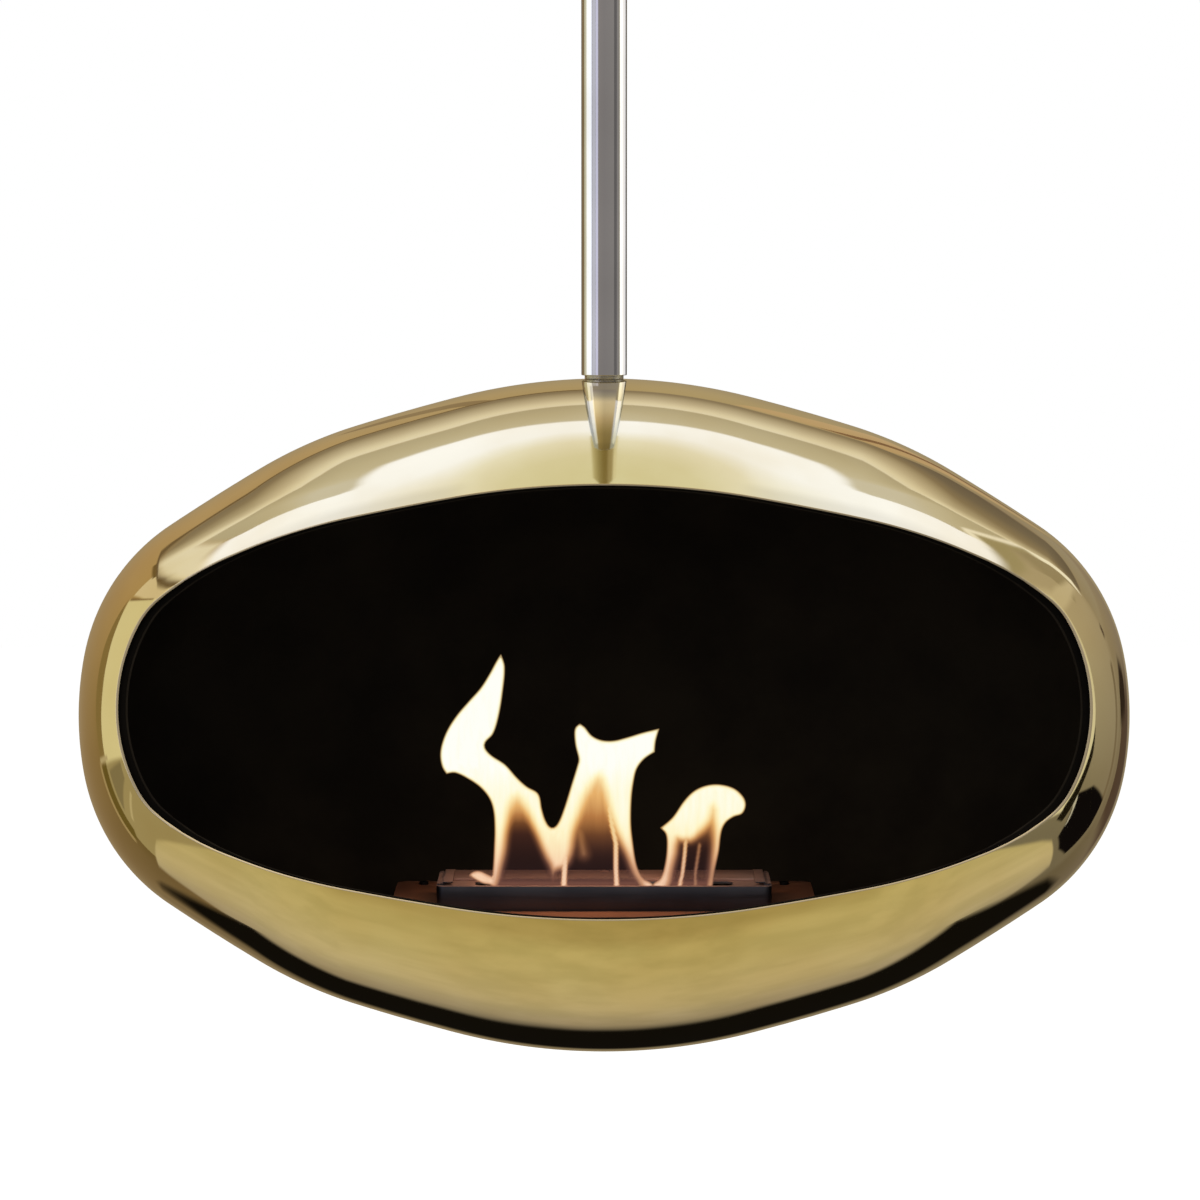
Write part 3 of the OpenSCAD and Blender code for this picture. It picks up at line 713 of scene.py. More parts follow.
def mark_rim(obj):
    """Marks the points between the shell's two faces, where the sheet's edge is less polished and carries a
    painted highlight.
    """
    off = outline_normals(read(obj.data.vertices, "co"), 0.0)[1]
    rim = ((off > RIM_MARGIN) & (off < SHELL_T - RIM_MARGIN)).astype(float)
    obj.data.attributes.new("rim", "FLOAT", "POINT").data.foreach_set("value", rim)


def make_liner():
    """The black inner skin, with a hole round the crown's boss."""
    surface = Surface()
    grow = FRAME_SETBACK + LINER_EDGE_R
    add_skin(surface, LINER_STATIONS, LINER_OUTSIDE, grow, columns=72, cap_rows=10)
    add_skin(surface, LINER_STATIONS, LINER_INSIDE, grow, columns=96, cap_rows=12)
    thickness = LINER_INSIDE - LINER_OUTSIDE
    add_rim(surface, LINER_STATIONS, round_steps(thickness, LINER_OUTSIDE, FRAME_SETBACK, LINER_EDGE_R, 2))
    obj = surface.build("pod_liner_pressed")
    cut(obj, [crown_hole(BOSS_HOLE_R, sides=64)])
    sharpen_from(obj, 40)
    return obj


def make_frame():
    """The strip between shell and liner, a hair's breadth clear of both."""
    surface = Surface()
    low, high, b = FRAME_SETBACK, FRAME_SETBACK + FRAME_T, FRAME_FOLD_R
    outer, inner = SHELL_T + FRAME_GAP, LINER_OUTSIDE - FRAME_GAP
    ring = [(outer, low + b), (outer + b, low), (inner - b, low), (inner, low + b),
            (inner, high - b), (inner - b, high), (outer + b, high), (outer, high - b), (outer, low + b)]
    add_rim(surface, LINER_STATIONS, ring)
    obj = surface.build("mouth_frame_ring")
    sharpen_from(obj, 50)
    return obj


finish_piece(make_shell(), "pod_shell")
finish_piece(make_liner(), "pod_liner")
finish_piece(make_frame(), "mouth_frame", shaded_frame_paint)


# ---- pole and ceiling cover
def make_pole():
    """The pole's tube, open at both ends, with the two holes of its grub screws at the back."""
    b, n = POLE_EDGE_R, 4
    outer, inner, top, foot = POLE_R - b, POLE_BORE_R + b, POLE_TOP - b, POLE_FOOT + b
    outline = []
    for i, corner in enumerate(((outer, top), (inner, top), (inner, foot), (outer, foot))):
        outline += arc(corner, b, 90 * i, 90 * i + 90, n)
    holes = [rod(NECK_SCREW_R, (0, POLE_BORE_R - CUT_PAST, z), (0, POLE_R + CUT_PAST, z), SCREW_HOLE_SIDES)
             for z in NECK_SCREW_Z]
    obj = lathe("pole_tube", outline, POLE_SIDES, holes)

    def normal_of(co, face):
        x, y, z = co[:, 0] / MM, co[:, 1] / MM, co[:, 2] / MM
        r = np.hypot(x, y)
        radial = np.stack([x / r, y / r, np.zeros(len(r))], 1)
        wall = (np.abs(r - POLE_R) < 0.01) & (np.einsum("ij,ij->i", radial, face) > 0.9)
        return np.where(wall[:, None], radial, 0.0)

    sharpen_from(obj, 40)
    set_normals(obj, normal_of)
    return obj


def make_cover():
    """The ceiling cover: a shallow spun cup with the pole's hole and three screw holes in its floor."""
    r, b, n = COVER_EDGE_R, COVER_T / 2, 12
    inner_r, floor = r - COVER_T, COVER_BOTTOM + COVER_T
    centre = (COVER_R - r, COVER_BOTTOM + r)
    outline = (arc((COVER_R - b, COVER_TOP - b), b, 0, 180, 6)
               + arc(centre, inner_r, 0, -90, n)
               + [(COVER_BORE_R + b, floor)]
               + arc((COVER_BORE_R + b, COVER_BOTTOM + b), b, 90, 270, 6)[1:]
               + arc(centre, r, -90, 0, n))
    low, high = COVER_BOTTOM - CUT_PAST, floor + CUT_PAST
    holes = [rod(COVER_SCREW_R, (x, y, low), (x, y, high), SCREW_HOLE_SIDES)
             for x, y in arc((0, 0), COVER_SCREW_CIRCLE_R, 90, 330, 2)]
    obj = lathe("ceiling_cover_spun", outline, COVER_SIDES, holes)
    sharpen_from(obj, 40)
    return obj


finish_piece(make_pole(), "pole")
finish_piece(make_cover(), "ceiling_cover")

# ---- sheet pieces with broken edges
for node_name, edge_width in (
    ("burner_deck", 0.5), ("burner_lid", 0.5), ("burner_tray", 0.5), ("lid_guide_left", 0.25),
    ("lid_guide_right", 0.25), ("tray_rail_left", 0.6), ("tray_rail_right", 0.6), ("ceiling_plate", 0.6),
    ("bearing_housing", 0.8), ("pole_neck", 0.2), ("lock_nut", 0.6),
):
    finish_piece(bevelled_copy(node_name, edge_width), node_name)


# ---- the flames
# Outlines as (x, height from the pod's axis), in millimetres. A third value marks a sharp corner.
FLAME_LEFT = [
    (-96, 60, 1), (-92, 48), (-94, 23), (-98, 0), (-103, -15), (-110, -23), (-110.5, -28), (-105, -35),
    (-92, -44), (-81, -56), (-72, -64), (-61, -71), (-57.5, -86), (-54, -97), (-49, -103), (-44, -100),
    (-38, -86), (-31, -63), (-25, -43), (-24, -38), (-27, -25), (-28, -13), (-26.5, -8), (-22.5, -5, 1),
    (-18, -8), (-11, -16), (-2, -20), (9, -20.5), (22, -17.5), (36, -13.5), (52, -10, 1), (48.5, -22),
    (47.5, -32.5, 1), (38, -38.5), (31, -47.5), (28, -59), (26, -75), (25.5, -97), (27, -114), (31, -138),
    (37, -150), (46, -156), (46, -163, 1), (-104, -163, 1), (-105, -158), (-113, -156), (-121, -152),
    (-127, -148, 1), (-123, -144), (-116, -143), (-109, -146), (-105, -148, 1), (-104, -138), (-103, -120),
    (-102.5, -104), (-103.5, -88), (-107, -77), (-115, -67), (-126, -59), (-139, -52.5), (-147, -53.5, 1),
    (-151, -47), (-153, -36), (-151.5, -25), (-146, -11), (-137, 3), (-126, 16), (-115, 28.5), (-107, 41),
    (-101, 52)]
FLAME_RIGHT = [
    (51.5, -103, 1), (63, -93), (74, -77), (83, -68), (94, -63), (107, -62), (121, -66), (130, -74),
    (132.5, -82), (129, -90), (121, -93), (114, -98), (110, -106), (107.5, -125), (104, -143),
    (101, -163, 1), (44, -163, 1), (45, -156), (52, -150), (56, -138), (58, -122), (57, -109)]
# Where the flames are thin and dark: how far below its top a gap turns fully dark, and its outline
FLAME_GAPS = (
    (42, [(-81, -71), (-89, -78), (-92, -102), (-94, -126), (-98, -146), (-101, -175), (-44, -175),
          (-47, -143), (-53, -130), (-58, -118), (-64, -102), (-72, -80)]),
    (98, [(-4, -50), (-13, -58), (-20, -71), (-26, -91), (-30, -107), (-32, -127), (-38, -139), (-48, -143),
          (-48, -175), (42, -175), (36, -157), (29, -146), (22, -127), (13, -105), (8, -86), (3, -63)]),
    (46, [(102, -80), (96, -94), (87, -107), (80, -113), (73, -113), (68, -112), (66, -126), (63, -140),
          (61, -152), (56, -175), (96, -175), (98, -158), (100, -146), (102, -129), (104, -113),
          (105, -94)]),
)
# Bright threads in front of the gaps, and last a broad faint one: half width, the share of it where a
# thread is at its brightest, warmth, and line
FLAME_THREADS = (
    (3.6, 0.35, 0.66, [(-33, -92), (-35, -107), (-36, -127), (-37, -146), (-38, -163)]),
    (3.2, 0.35, 0.66, [(5, -84), (7, -99), (11, -117), (11, -141), (12, -163)]),
    (2.6, 0.35, 0.60, [(77, -104), (75, -129), (73, -146), (69, -163)]),
    (2.4, 0.35, 0.38, [(89, -118), (88, -126), (85, -146), (85, -163)]),
    (16.0, -0.5, 0.46, [(-23, -106), (-19, -127)]),
)
THREAD_REACH = 1.25
# Below this height the grid of points is finer
FINE_TOP = -50.0
FINE_STEP, COARSE_STEP = 1.8, 4.0
# Rows of points this deep inside the edge, and then the grid
EDGE_ROWS, GRID_DEPTH = (1.0, 2.2, 3.8), 5.0
EDGE_STEP, GAP_STEP = 2.2, 6.0
FLAME_HALF_DEPTH = 6.5


def smooth_loop(points, step):
    """A closed curve through the points, in even steps. It turns sharply at points with a third value."""
    places = [np.array(point[:2], float) for point in points]
    loop = []
    for i, start in enumerate(places):
        j = (i + 1) % len(places)
        end = places[j]
        length = np.linalg.norm(end - start)
        ways = []
        for k in (i, j):
            way = places[(k + 1) % len(places)] - places[k - 1]
            ways.append(way / np.linalg.norm(way) * length * (len(points[k]) == 2))
        for t in np.linspace(0, 1, max(1, round(length / step)), endpoint=False):
            loop.append((2 * t**3 - 3 * t**2 + 1) * start + (t**3 - 2 * t**2 + t) * ways[0]
                        + (3 * t**2 - 2 * t**3) * end + (t**3 - t**2) * ways[1])
    return np.array(loop)


def line_distance(points, start, end):
    """Distance from points to the nearest of some straight lines, from each start to its end."""
    edge = end - start
    t = np.clip(((points[:, None] - start) * edge).sum(2) / (edge**2).sum(1), 0, 1)
    return np.linalg.norm(points[:, None] - start - t[..., None] * edge, axis=2).min(1)


def depth_inside(points, loop):
    """How far points lie inside a closed loop. Outside it is below 0."""
    ends = np.roll(loop, -1, axis=0)
    edge = ends - loop
    gap = line_distance(points, loop, ends)
    height = points[:, 1:]
    crosses = (loop[:, 1] > height) != (ends[:, 1] > height)
    rise = np.where(edge[:, 1] == 0, 1.0, edge[:, 1])
    where = loop[:, 0] + (height - loop[:, 1]) / rise * edge[:, 0]
    within = (crosses & (points[:, :1] < where)).sum(1) % 2 == 1
    return np.where(within, gap, -gap)


def soft_step(value, low, high):
    """0 at low, 1 at high, smooth between. Low may be above high."""
    t = np.clip((value - low) / (high - low), 0, 1)
    return t * t * (3 - 2 * t)


def flame_points(loop):
    """Points inside the loop: rows close to its edge, and a staggered grid in the middle."""
    along = np.roll(loop, -1, axis=0) - np.roll(loop, 1, axis=0)
    inward = np.stack([along[:, 1], -along[:, 0]], 1) / np.linalg.norm(along, axis=1)[:, None]
    rows = []
    for depth in EDGE_ROWS:
        row = loop + inward * depth
        rows.append(row[depth_inside(row, loop) > 0.9 * depth])
    low, high = loop.min(0), loop.max(0)
    grid, z, shift = [], low[1], 0.0
    while z < high[1]:
        step = FINE_STEP if z < FINE_TOP else COARSE_STEP
        shift = step / 2 - shift if shift < step / 2 else 0.0
        grid += [(x, z) for x in np.arange(low[0] + shift, high[0], step)]
        z += step
    grid = np.array(grid)
    rows.append(grid[depth_inside(grid, loop) > GRID_DEPTH])
    return np.concatenate(rows)


def flame_values(flat, depth):
    """Warmth, veil and blush at points of a flame: how hot, how dense and how pink it is there."""
    z = flat[:, 1]
    gap = np.zeros(len(flat))
    for fade, outline in FLAME_GAPS:
        top = max(point[1] for point in outline)
        soft = soft_step(depth_inside(flat, smooth_loop(outline, GAP_STEP)), -6, 9)
        gap = np.maximum(gap, soft * (0.40 + 0.60 * soft_step(-z, -top + 2, -top + fade)))
    # Hottest inside and high up, cooler at the edge, low down and in the gaps
    edge = soft_step(depth, -1.0, 3.6)
    body = 1 - 0.10 * soft_step(-z, 35, 75) - 0.24 * soft_step(-z, 80, 150)
    warmth = (0.50 + 0.50 * edge) * body * (1 - 0.87 * gap)
    veil = soft_step(depth, 0.0, 2.8) * (1 - 0.78 * gap * soft_step(-z, 70, 135))
    blush = soft_step(-z, 95, 150)
    for half, core, heat, line in FLAME_THREADS:
        line = np.array(line, float)
        thread = soft_step(line_distance(flat, line[:-1], line[1:]) / half, THREAD_REACH, core)
        warmth = np.maximum(warmth, heat * thread)
        veil = np.maximum(veil, 0.85 * thread * (heat + 0.3) * soft_step(depth, 0.0, 2.0))
    # A faint glow close to the slot
    foot = soft_step(-z, 149, 154) * soft_step(depth, 0.0, 2.0)
    return np.maximum(warmth, 0.29 * foot), np.maximum(veil, 0.85 * foot), blush


def make_flame(name, points, material):
    """A flame body with a rounded section. Its points know how hot and how dense it is there."""
    loop = smooth_loop(points, EDGE_STEP)
    spots = np.concatenate([loop, flame_points(loop)])
    ring = list(range(len(loop)))[::-1]
    flat, _, triangles = delaunay_2d_cdt([Vector(p) for p in spots], [], [ring], 1, 1e-4)[:3]
    flat = np.array([tuple(p) for p in flat])
    depth = np.maximum(depth_inside(flat, loop), 0.0)
    depth[depth < 0.05] = 0.0
    x, z = flat[:, 0], flat[:, 1]
    sway = soft_step(z, -150, -60) * (5 * np.sin(z / 29 + x / 47) + 2.5 * np.sin(z / 15 - x / 21))
    half = FLAME_HALF_DEPTH * (1 - np.exp(-depth / 5))
    warmth, veil, blush = flame_values(flat, depth)

    verts, front, back = [], [], []
    for i in range(len(flat)):
        front.append(len(verts))
        for side in (-1, 1) if half[i] > 0 else (-1,):
            verts.append((x[i] * MM, (SLOT_Y + sway[i] + side * half[i]) * MM, (AXIS_Z + z[i]) * MM))
        back.append(len(verts) - 1)
    faces = [[front[i] for i in corners] for corners in triangles]
    faces += [[back[i] for i in corners[::-1]] for corners in triangles if half[corners].any()]
    mesh = bpy.data.meshes.new(name)
    mesh.from_pydata(verts, [], faces)
    for attribute, values in (("warmth", warmth), ("veil", veil), ("blush", blush)):
        data = np.zeros(len(verts))
        data[front], data[back] = values, values
        mesh.attributes.new(attribute, "FLOAT", "POINT").data.foreach_set("value", data)
    obj = link(name, mesh)
    obj.data.materials.append(material)
    obj.visible_shadow = False
    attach(obj, "pod")
    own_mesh(obj)


def make_fire():
    """Glowing gas. The points' warmth picks its colour, blush turns it pink, and veil makes it dense."""
    material, t, p = shader("fire", Base_Color=(0, 0, 0, 1), Roughness=1.0, Specular_IOR_Level=0.0,
                            Emission_Strength=1.0)
    warmth, veil, blush = [t.attribute(name) for name in ("warmth", "veil", "blush")]
    streak = t.remap(t.noise(t.place((1, 1, 0.10)), 210.0, 2.0), 0.3, 0.7, 0.97, 1.03)
    warmth = t.times(warmth, streak)
    yellow = t.along(warmth, [
        (0.0, 0.022, 0.009, 0.010), (0.12, 0.070, 0.024, 0.014), (0.25, 0.18, 0.065, 0.022),
        (0.40, 0.48, 0.20, 0.060), (0.55, 0.80, 0.44, 0.15), (0.70, 0.96, 0.74, 0.37),
        (0.82, 1.0, 0.92, 0.58), (0.92, 1.0, 0.98, 0.78), (1.0, 1.0, 1.0, 0.93)])
    pink = t.along(warmth, [
        (0.0, 0.020, 0.009, 0.013), (0.15, 0.065, 0.028, 0.026), (0.30, 0.17, 0.07, 0.05),
        (0.50, 0.62, 0.31, 0.17), (0.66, 0.93, 0.62, 0.42), (0.80, 1.0, 0.84, 0.60),
        (1.0, 1.0, 0.95, 0.80)])
    t.give(p, Emission_Color=t.mix(blush, yellow, pink))
    t.give(p, Alpha=veil)
    return material


fire = make_fire()
make_flame("flame_left", FLAME_LEFT, fire)
make_flame("flame_right", FLAME_RIGHT, fire)


# ---- the stage
FLOOR_HALF = 9.0
FLOOR_MIDDLE = (0, 1.0, AXIS_Z * MM - 0.85)


def make_floor():
    """A wide white floor far under the pod. Only the camera sees its glow."""
    bm = bmesh.new()
    bmesh.ops.create_grid(bm, x_segments=2, y_segments=2, size=FLOOR_HALF)
    bmesh.ops.translate(bm, vec=FLOOR_MIDDLE, verts=bm.verts)
    mesh = bpy.data.meshes.new("floor")
    bm.to_mesh(mesh)
    bm.free()
    floor = link("floor", mesh)
    material = bpy.data.materials.new("floor_white")
    material.use_nodes = True
    t = Nodes(material.node_tree)
    glow = t.times(t.new("LightPath").outputs["Is Camera Ray"], 0.55)
    both = t.new("AddShader")
    t.feed(both.inputs[0], t.fed("BsdfDiffuse", Color=(0.78, 0.77, 0.75, 1)))
    t.feed(both.inputs[1], t.fed("Emission", Strength=glow))
    t.give(t.new("OutputMaterial"), Surface=both.outputs[0])
    mesh.materials.append(material)
    floor.visible_glossy = False


make_floor()


# ---- the room that the metal mirrors
def span(az_low, az_high, el_low, el_high):
    """Top and foot lines of a patch with level edges."""
    return [(az_low, el_high), (az_high, el_high)], [(az_low, el_low), (az_high, el_low)]


# Directions are (azimuth, elevation) in degrees: azimuth 0 points away from the camera, right is positive
CEILING_EDGE = [
    (0, 55.6), (10, 55), (20, 53.7), (28, 52.5), (34, 53.3), (40, 55.5), (47, 57.9), (50.5, 58.5),
    (52.5, 57.5), (54, 52), (54.5, 44), (54.8, 39.8), (90, 39.8), (180, 36)]
STEP_TOP = [
    (-69, 39.8), (-54, 39.4), (-47, 36.5), (-44.5, 38), (-42, 42), (-38.5, 44.6), (-33, 44.9), (-25, 43.8),
    (-13, 43.2), (13, 43.2), (22, 43.3), (30, 44.6), (35, 45), (39, 44.5), (42, 41), (43.5, 37), (44, 34.5)]
STEP_FOOT = [
    (-69, 38.8), (-60, 37.6), (-50, 35), (-40, 31.5), (-32, 28.3), (-25, 27.3), (0, 28.2), (14, 28),
    (18, 26), (19.5, 18.5), (25, 21.3), (30, 20.5), (44, 20)]
STEP_LINE = STEP_FOOT[:7], [(az, el - 1.1) for az, el in STEP_FOOT[:7]]
STEP_WEDGE = [(44, 34.8), (52.5, 40.2), (68, 40.2)], [(44, 34.2), (50, 37.2), (68, 39.2)]
STEP_END = [(43, 34.4), (45.8, 34.4)], [(43, 24), (45.8, 20.5)]
STEP_GLINT = [(43.5, 35), (52, 40.4), (58, 40.4)], [(43.5, 34.3), (52, 39.6), (58, 39.8)]
FAR_STEP_FOOT = [(-54, 39.4), (-47, 36.5), (44, 34.5), (53, 40)]
PALE_WALL = ([(-95, 38), (-70, 35.5), (-51.5, 23)],
             [(-95, -15), (-61.5, -15), (-61, -12), (-60.3, 2), (-58.5, 9), (-55, 17), (-51.5, 22.5)])
# What lies under the pod is nearly black
DARK = (0.006, 0.005, 0.004)
DARK_SHAPE = (
    [(-40.5, -41.5), (-37.5, -39), (-35, -36.6), (-31, -33.4), (-27, -31.4), (-22, -29.4), (-18, -28),
     (0, -24.5), (17, -26.5), (24, -27.6), (28, -29.4), (33, -33.2), (38, -37), (42, -40.5), (47, -44.5)],
    [(-40.5, -43.5), (-30, -46), (-20, -47.5), (0, -50), (20, -49.5), (38, -47.5), (47, -45.5)])
# Tones are (value, red, green, blue). The walls' value is the azimuth
WALL_TONES = [
    (-180, 0.25, 0.23, 0.22), (-98, 0.30, 0.27, 0.24), (-95, 0.72, 0.68, 0.50), (-62, 0.60, 0.52, 0.33),
    (-58, 0.30, 0.21, 0.09), (-50, 0.33, 0.23, 0.115), (-30, 0.345, 0.245, 0.135), (-15, 0.36, 0.265, 0.15),
    (0, 0.34, 0.27, 0.16), (16, 0.33, 0.27, 0.17), (20, 0.25, 0.20, 0.145), (42, 0.27, 0.225, 0.165),
    (47, 0.33, 0.285, 0.225), (70, 0.35, 0.31, 0.25), (98, 0.36, 0.32, 0.25), (102, 0.28, 0.26, 0.24),
    (180, 0.25, 0.23, 0.22)]
# Softness, colour, (top line, foot line)
ROOM_PATCHES = (
    (2.0, (0.25, 0.18, 0.075),
     ([(-64, 9), (-59, 13), (-54, 20), (-50, 22)], [(-64, -13), (-56, -13), (-50, 10)])),
    (0.5, (0.73, 0.68, 0.47), PALE_WALL),
    (0.7, (0.72, 0.62, 0.47), ([(-72, 38.6), (-60, 37), (-52, 35)], [(-72, 36.3), (-52, 25)])),
    (0.7, (0.18, 0.12, 0.05), ([(-54, 35.5), (-43, 32)], [(-54, 33.5), (-43, 30)])),
    (0.5, (0.24, 0.16, 0.08), ([(-70, 35.7), (-52, 24)], [(-70, 35), (-52, 23)])),
    (1.0, (0.37, 0.31, 0.18), span(-96, -58, -42, -14)),
    (0.8, (0.24, 0.20, 0.12), ([(-77, -15), (-63, -16)], [(-77, -20), (-63, -27)])),
    (0.5, (0.52, 0.45, 0.30), ([(-78, -24), (-66, -30)], [(-78, -25.5), (-66, -31.5)])),
    (0.6, (0.15, 0.11, 0.03), ([(-61, -14), (-55, -14)], [(-61, -32), (-57, -34), (-55, -33)])),
    (0.5, (0.50, 0.43, 0.30), span(-64, -54, -13.5, -12.3)),
    (0.7, (0.40, 0.31, 0.18), span(-55, -52.5, -33, -13)),
    (2.0, (0.55, 0.40, 0.24), span(9, 17, 12, 27)),
    (0.7, (0.24, 0.14, 0.08), span(12.5, 14, 8, 27)),
    (0.7, (0.30, 0.22, 0.13), span(-9.5, -7.5, 14, 27)),
    (1.5, (0.34, 0.29, 0.22), ([(19, 17), (25, 20.5), (44, 19.5)], [(19, 12), (44, 10)])),
    (3.0, (0.09, 0.06, 0.045), ([(21, -3), (38, 0)], [(21, -18), (36, -20), (38, -18)])),
    (1.5, (0.03, 0.02, 0.015), ([(29, -1), (35, 2), (40, -1)], [(29, -5), (40, -6)])),
    (0.8, (0.20, 0.16, 0.115), span(45.5, 48.5, -24, 5)),
    (0.7, (0.12, 0.09, 0.07), span(43.5, 46, 9.5, 12)),
    (1.0, (0.36, 0.31, 0.23), span(46, 56, 25, 37)),
    (1.5, (0.62, 0.56, 0.47), ([(47, 27), (60, 34.5), (72, 38.9)], [(47, 24), (60, 28), (72, 31)])),
    (1.0, (0.72, 0.69, 0.57),
     ([(70, 39), (95, 39)], [(70, 31), (73, 0), (76, -14), (84, -33), (95, -40)])),
    (0.6, (0.005, 0.004, 0.005),
     ([(46, -19), (64, -20), (76.5, -24.5)],
      [(46, -25), (50, -35.5), (60, -39), (71, -38.7), (76.5, -29)])),
    (0.6, (0.012, 0.010, 0.006), ([(73, -4), (84, -31)], [(73, -12), (76, -21), (78, -35), (84, -36)])),
    (0.4, (0.55, 0.55, 0.58),
     ([(72, -34), (75.5, -26), (77, -25)], [(72, -36), (75.5, -29.5), (77, -28.5)])),
    (1.5, (0.72, 0.70, 0.55), span(-112, -94, -14, 22)),
    (1.0, (0.62, 0.62, 0.68), span(-136, -118, -14, 22)),
    (1.0, (0.71, 0.70, 0.86), span(-150, -136, -14, 22)),
    (2.0, (0.15, 0.14, 0.135), span(112, 129, -14, 14)),
)
# The floor's far edge, and its tone by the direction's share towards the back of the room
FLOOR_EDGE = -41.3
FLOOR_SHADES = [
    (-0.40, 0.78, 0.73, 0.52), (-0.25, 0.80, 0.75, 0.56), (-0.14, 0.97, 0.96, 0.80),
    (0.07, 0.98, 0.98, 0.90), (0.30, 1.0, 1.0, 1.06), (0.40, 0.93, 0.93, 1.04),
    (0.50, 0.78, 0.78, 0.97), (0.57, 0.66, 0.65, 0.84), (0.66, 0.40, 0.40, 0.55)]
# The two steps, by degrees below the upper step's top, and the bright field by elevation
NEAR_STEP_TONES = [
    (0, 0.88, 0.86, 0.88), (2.5, 0.84, 0.80, 0.75), (6.5, 0.62, 0.56, 0.49),
    (10.5, 0.44, 0.38, 0.30), (13.5, 0.29, 0.235, 0.17), (18, 0.20, 0.165, 0.13),
    (24, 0.16, 0.13, 0.10)]
FAR_STEP_TONES = [
    (-14, 0.67, 0.66, 0.70), (-10, 0.64, 0.61, 0.58), (-5, 0.58, 0.54, 0.48), (0, 0.51, 0.47, 0.41)]
BRIGHT_TONES = [
    (38, 1.12, 1.19, 1.66), (56, 1.14, 1.24, 1.78), (62, 1.11, 1.21, 1.74), (68, 0.94, 0.97, 1.07),
    (76, 0.82, 0.83, 0.76), (84, 0.79, 0.80, 0.69)]
# The ceiling over the camera, by elevation
FRONT_TONES = [
    (28, 0.26, 0.24, 0.27), (35, 0.42, 0.40, 0.39), (41, 0.80, 0.72, 0.62), (48, 0.78, 0.69, 0.56),
    (54, 0.60, 0.49, 0.35), (62, 0.44, 0.35, 0.19), (72, 0.38, 0.29, 0.13), (85, 0.35, 0.26, 0.10)]
# The upper pole: half its width as a share of a direction, how it tapers to its tip, and its tones
POLE_HALF, POLE_TIP_HALF, POLE_TAPER = 0.028, 0.012, 0.32
POLE_TONES = [
    (-POLE_HALF, 0.63, 0.60, 0.44), (-0.020, 0.46, 0.42, 0.26), (-0.013, 0.34, 0.30, 0.16),
    (-0.002, 0.235, 0.185, 0.075), (0.006, 0.225, 0.175, 0.068), (0.010, 0.36, 0.305, 0.18),
    (0.019, 0.38, 0.33, 0.19), (0.023, 0.80, 0.78, 0.66), (POLE_HALF, 0.72, 0.70, 0.55)]


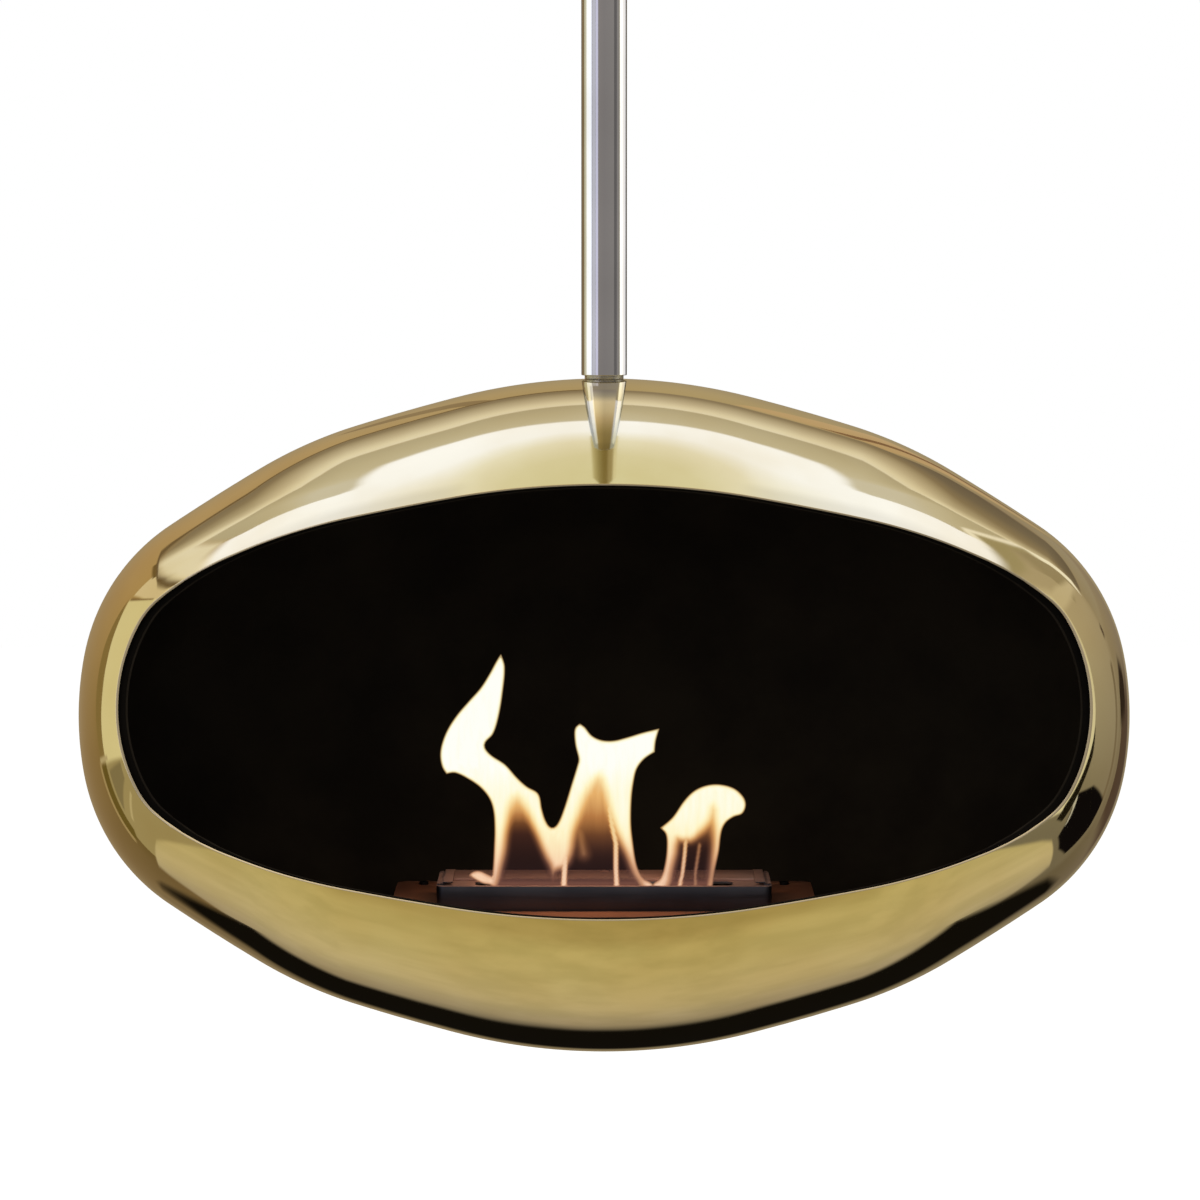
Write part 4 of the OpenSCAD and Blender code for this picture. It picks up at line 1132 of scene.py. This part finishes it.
def make_world():
    """White to the camera, plain grey as light, and a room with a stepped ceiling in mirrors."""
    world = bpy.data.worlds.new("studio")
    bpy.context.scene.world = world
    world.use_nodes = True
    t = Nodes(world.node_tree)
    direction = t.new("TexCoord").outputs["Generated"]
    x, y, z = t.split(direction)
    degrees = 180 / math.pi
    el = t.times(t.math("ARCSINE", t.math("MAXIMUM", t.least(z, 1.0), -1.0)), degrees)
    az = t.times(t.math("ARCTAN2", x, y), degrees)
    side = t.math("ABSOLUTE", az)

    def inside(lines, soft):
        """1 between a top and a foot line that run over the same azimuths."""
        top, foot = lines
        shut = [(top[0][0] - 0.1, -180)] + top + [(top[-1][0] + 0.1, -180)]
        under = t.minus(t.graph(az, shut), el)
        over = t.minus(el, t.graph(az, foot))
        return t.steps(t.least(under, over), -soft, soft)

    def patch(room, soft, colour, lines):
        return t.mix(inside(lines, soft), room, (*colour, 1))

    # Walls, lighter towards the ceiling, and what stands against them
    rise = t.graph(el, [(-40, 0.55), (-25, 0.68), (0, 1.0), (20, 1.34), (30, 1.4)])
    room = t.shade(t.along(az, WALL_TONES), rise)
    for soft, colour, lines in ROOM_PATCHES:
        room = patch(room, soft, colour, lines)

    # Pale stone floor, with the dark shape of what lies under the pod
    stone = t.noise(direction, 7.0, 4.0, 0.6)
    floor = t.mix(t.steps(stone, 0.3, 0.7), (0.52, 0.455, 0.275, 1), (0.60, 0.52, 0.33, 1))
    floor = t.shade(floor, t.along(y, FLOOR_SHADES))
    room = t.mix(t.steps(el, FLOOR_EDGE + 0.5, FLOOR_EDGE - 0.5), room, floor)
    room = patch(room, 2.0, DARK, DARK_SHAPE)
    # Under the pod's middle the dark fades out softly
    haze = t.times(t.between(az, -14, 14, 9.0), t.between(el, -51.0, -24.0, 4.5))
    room = t.mix(haze, room, (*DARK, 1))

    # The ceiling: two dimmer steps low down at the back, and the bright field above them
    below = t.minus(t.graph(az, STEP_TOP), el)
    bright = t.along(el, BRIGHT_TONES)
    dim = t.times(t.graph(side, [(63, 0.0), (71, 0.13), (180, 0.25)]), t.steps(el, 71.0, 66.0))
    bright = t.mix(dim, bright, (0, 0, 0, 1))
    room = patch(room, 0.4, (0.16, 0.11, 0.06), STEP_LINE)
    room = t.mix(inside((STEP_TOP, STEP_FOOT), 0.6), room, t.along(below, NEAR_STEP_TONES))
    room = patch(room, 0.4, (0.40, 0.36, 0.25), STEP_WEDGE)
    room = patch(room, 0.5, (1.0, 1.0, 1.05), STEP_END)
    over_step = t.times(t.steps(below, 0.6, -0.6), t.steps(side, 54.9, 54.1))
    over_foot = t.steps(t.minus(el, t.graph(az, FAR_STEP_FOOT)), -0.5, 0.5)
    room = t.mix(t.times(over_step, over_foot), room, t.along(below, FAR_STEP_TONES))
    room = patch(room, 0.3, (1.0, 1.0, 1.1), STEP_GLINT)
    room = t.mix(t.steps(t.minus(el, t.graph(side, CEILING_EDGE)), -0.6, 0.6), room, bright)

    # The ceiling over the camera, and the upper part of a long pole, which runs up to it
    front = t.graph(az, [(-180, 1.0), (-120, 1.5), (120, 1.1), (180, 1.0)])
    front = t.shade(t.along(el, FRONT_TONES), front)
    room = t.mix(t.times(t.steps(side, 104, 114), t.steps(el, 26, 30)), room, front)
    taper = t.least(t.plus(t.times(y, POLE_TAPER), POLE_TIP_HALF), POLE_HALF)
    strip = t.least(t.minus(taper, t.math("ABSOLUTE", x)), z)
    strip = t.times(t.steps(strip, -0.002, 0.002), t.between(y, -0.005, 0.42, 0.004))
    room = t.mix(strip, room, t.along(x, POLE_TONES))

    path = t.new("LightPath")
    seen = t.math("MAXIMUM", path.outputs["Is Glossy Ray"], path.outputs["Is Transmission Ray"])
    colour = t.mix(seen, (0.62, 0.62, 0.62, 1), room)
    colour = t.mix(path.outputs["Is Camera Ray"], colour, (1, 1, 1, 1))
    t.give(t.new("OutputWorld"), Surface=t.fed("Background", Color=colour))


make_world()


def make_lamp(name, place, target, size, power, colour, only=None):
    """A soft lamp, in metres and watts. With only, it lights that piece alone, and the piece mirrors it."""
    data = bpy.data.lights.new(name, "AREA")
    data.shape, data.size, data.size_y = "RECTANGLE", size[0], size[1]
    data.energy, data.color = power, colour
    lamp = link(name, data)
    lamp.location = place
    lamp.rotation_euler = (Vector(target) - Vector(place)).to_track_quat("-Z", "Y").to_euler()
    lamp.visible_camera = False
    lamp.visible_glossy = only is not None
    if only:
        receivers = bpy.data.collections.new(name + "_on")
        receivers.objects.link(only)
        lamp.light_linking.receiver_collection = receivers


# The mirrored room stands for all that is over the pod, so the mount isn't mirrored as well
for node_name in ("ceiling_plate", "bearing_housing", "housing_screws", "cover_screws"):
    nodes[node_name].visible_glossy = False
for piece_name in ("ceiling_cover_spun", "ceiling_plate_edged", "bearing_housing_edged"):
    bpy.data.objects[piece_name].visible_glossy = False

make_lamp("softbox_top", (0.0, -0.8, 1.6), (0, 0, -0.8), (2.4, 2.0), 26.0, (1.0, 0.98, 0.95))
make_lamp("softbox_front", (-1.6, -2.6, 0.4), (0, 0, -0.85), (1.6, 1.6), 18.0, (1.0, 0.99, 0.97))
make_lamp("softbox_pole_right", (1.096, 0.488, 1.15), (0, 0, 1.15), (1.17, 4.0), 13.0, (1.0, 0.99, 0.985),
          bpy.data.objects["pole_tube"])
make_lamp("softbox_pole_left", (-1.187, -0.177, 1.15), (0, 0, 1.15), (0.80, 4.0), 7.7, (0.74, 0.80, 1.0),
          bpy.data.objects["pole_tube"])
make_lamp("flame_glow", (-0.02, -0.034, -0.89), (-0.02, -0.01, -0.99), (0.20, 0.02), 0.20,
          (1.0, 0.62, 0.38))


CAMERA_PLACE = (0.0, -4.4753, -0.3562)
CAMERA_DOWN = 4.636
CAMERA_TURN = 0.049
CAMERA_SENSOR, CAMERA_LENS = 36.0, 144.099


def make_camera():
    """The camera that fits the pod's silhouette in the photo. It looks a little down."""
    data = bpy.data.cameras.new("camera")
    data.sensor_width, data.lens = CAMERA_SENSOR, CAMERA_LENS
    data.clip_start, data.clip_end = 0.05, 100.0
    camera = link("camera", data)
    camera.location = CAMERA_PLACE
    camera.rotation_euler = (math.radians(90 - CAMERA_DOWN), 0.0, math.radians(CAMERA_TURN))
    bpy.context.scene.camera = camera


make_camera()
bpy.context.scene.view_settings.view_transform = "Standard"
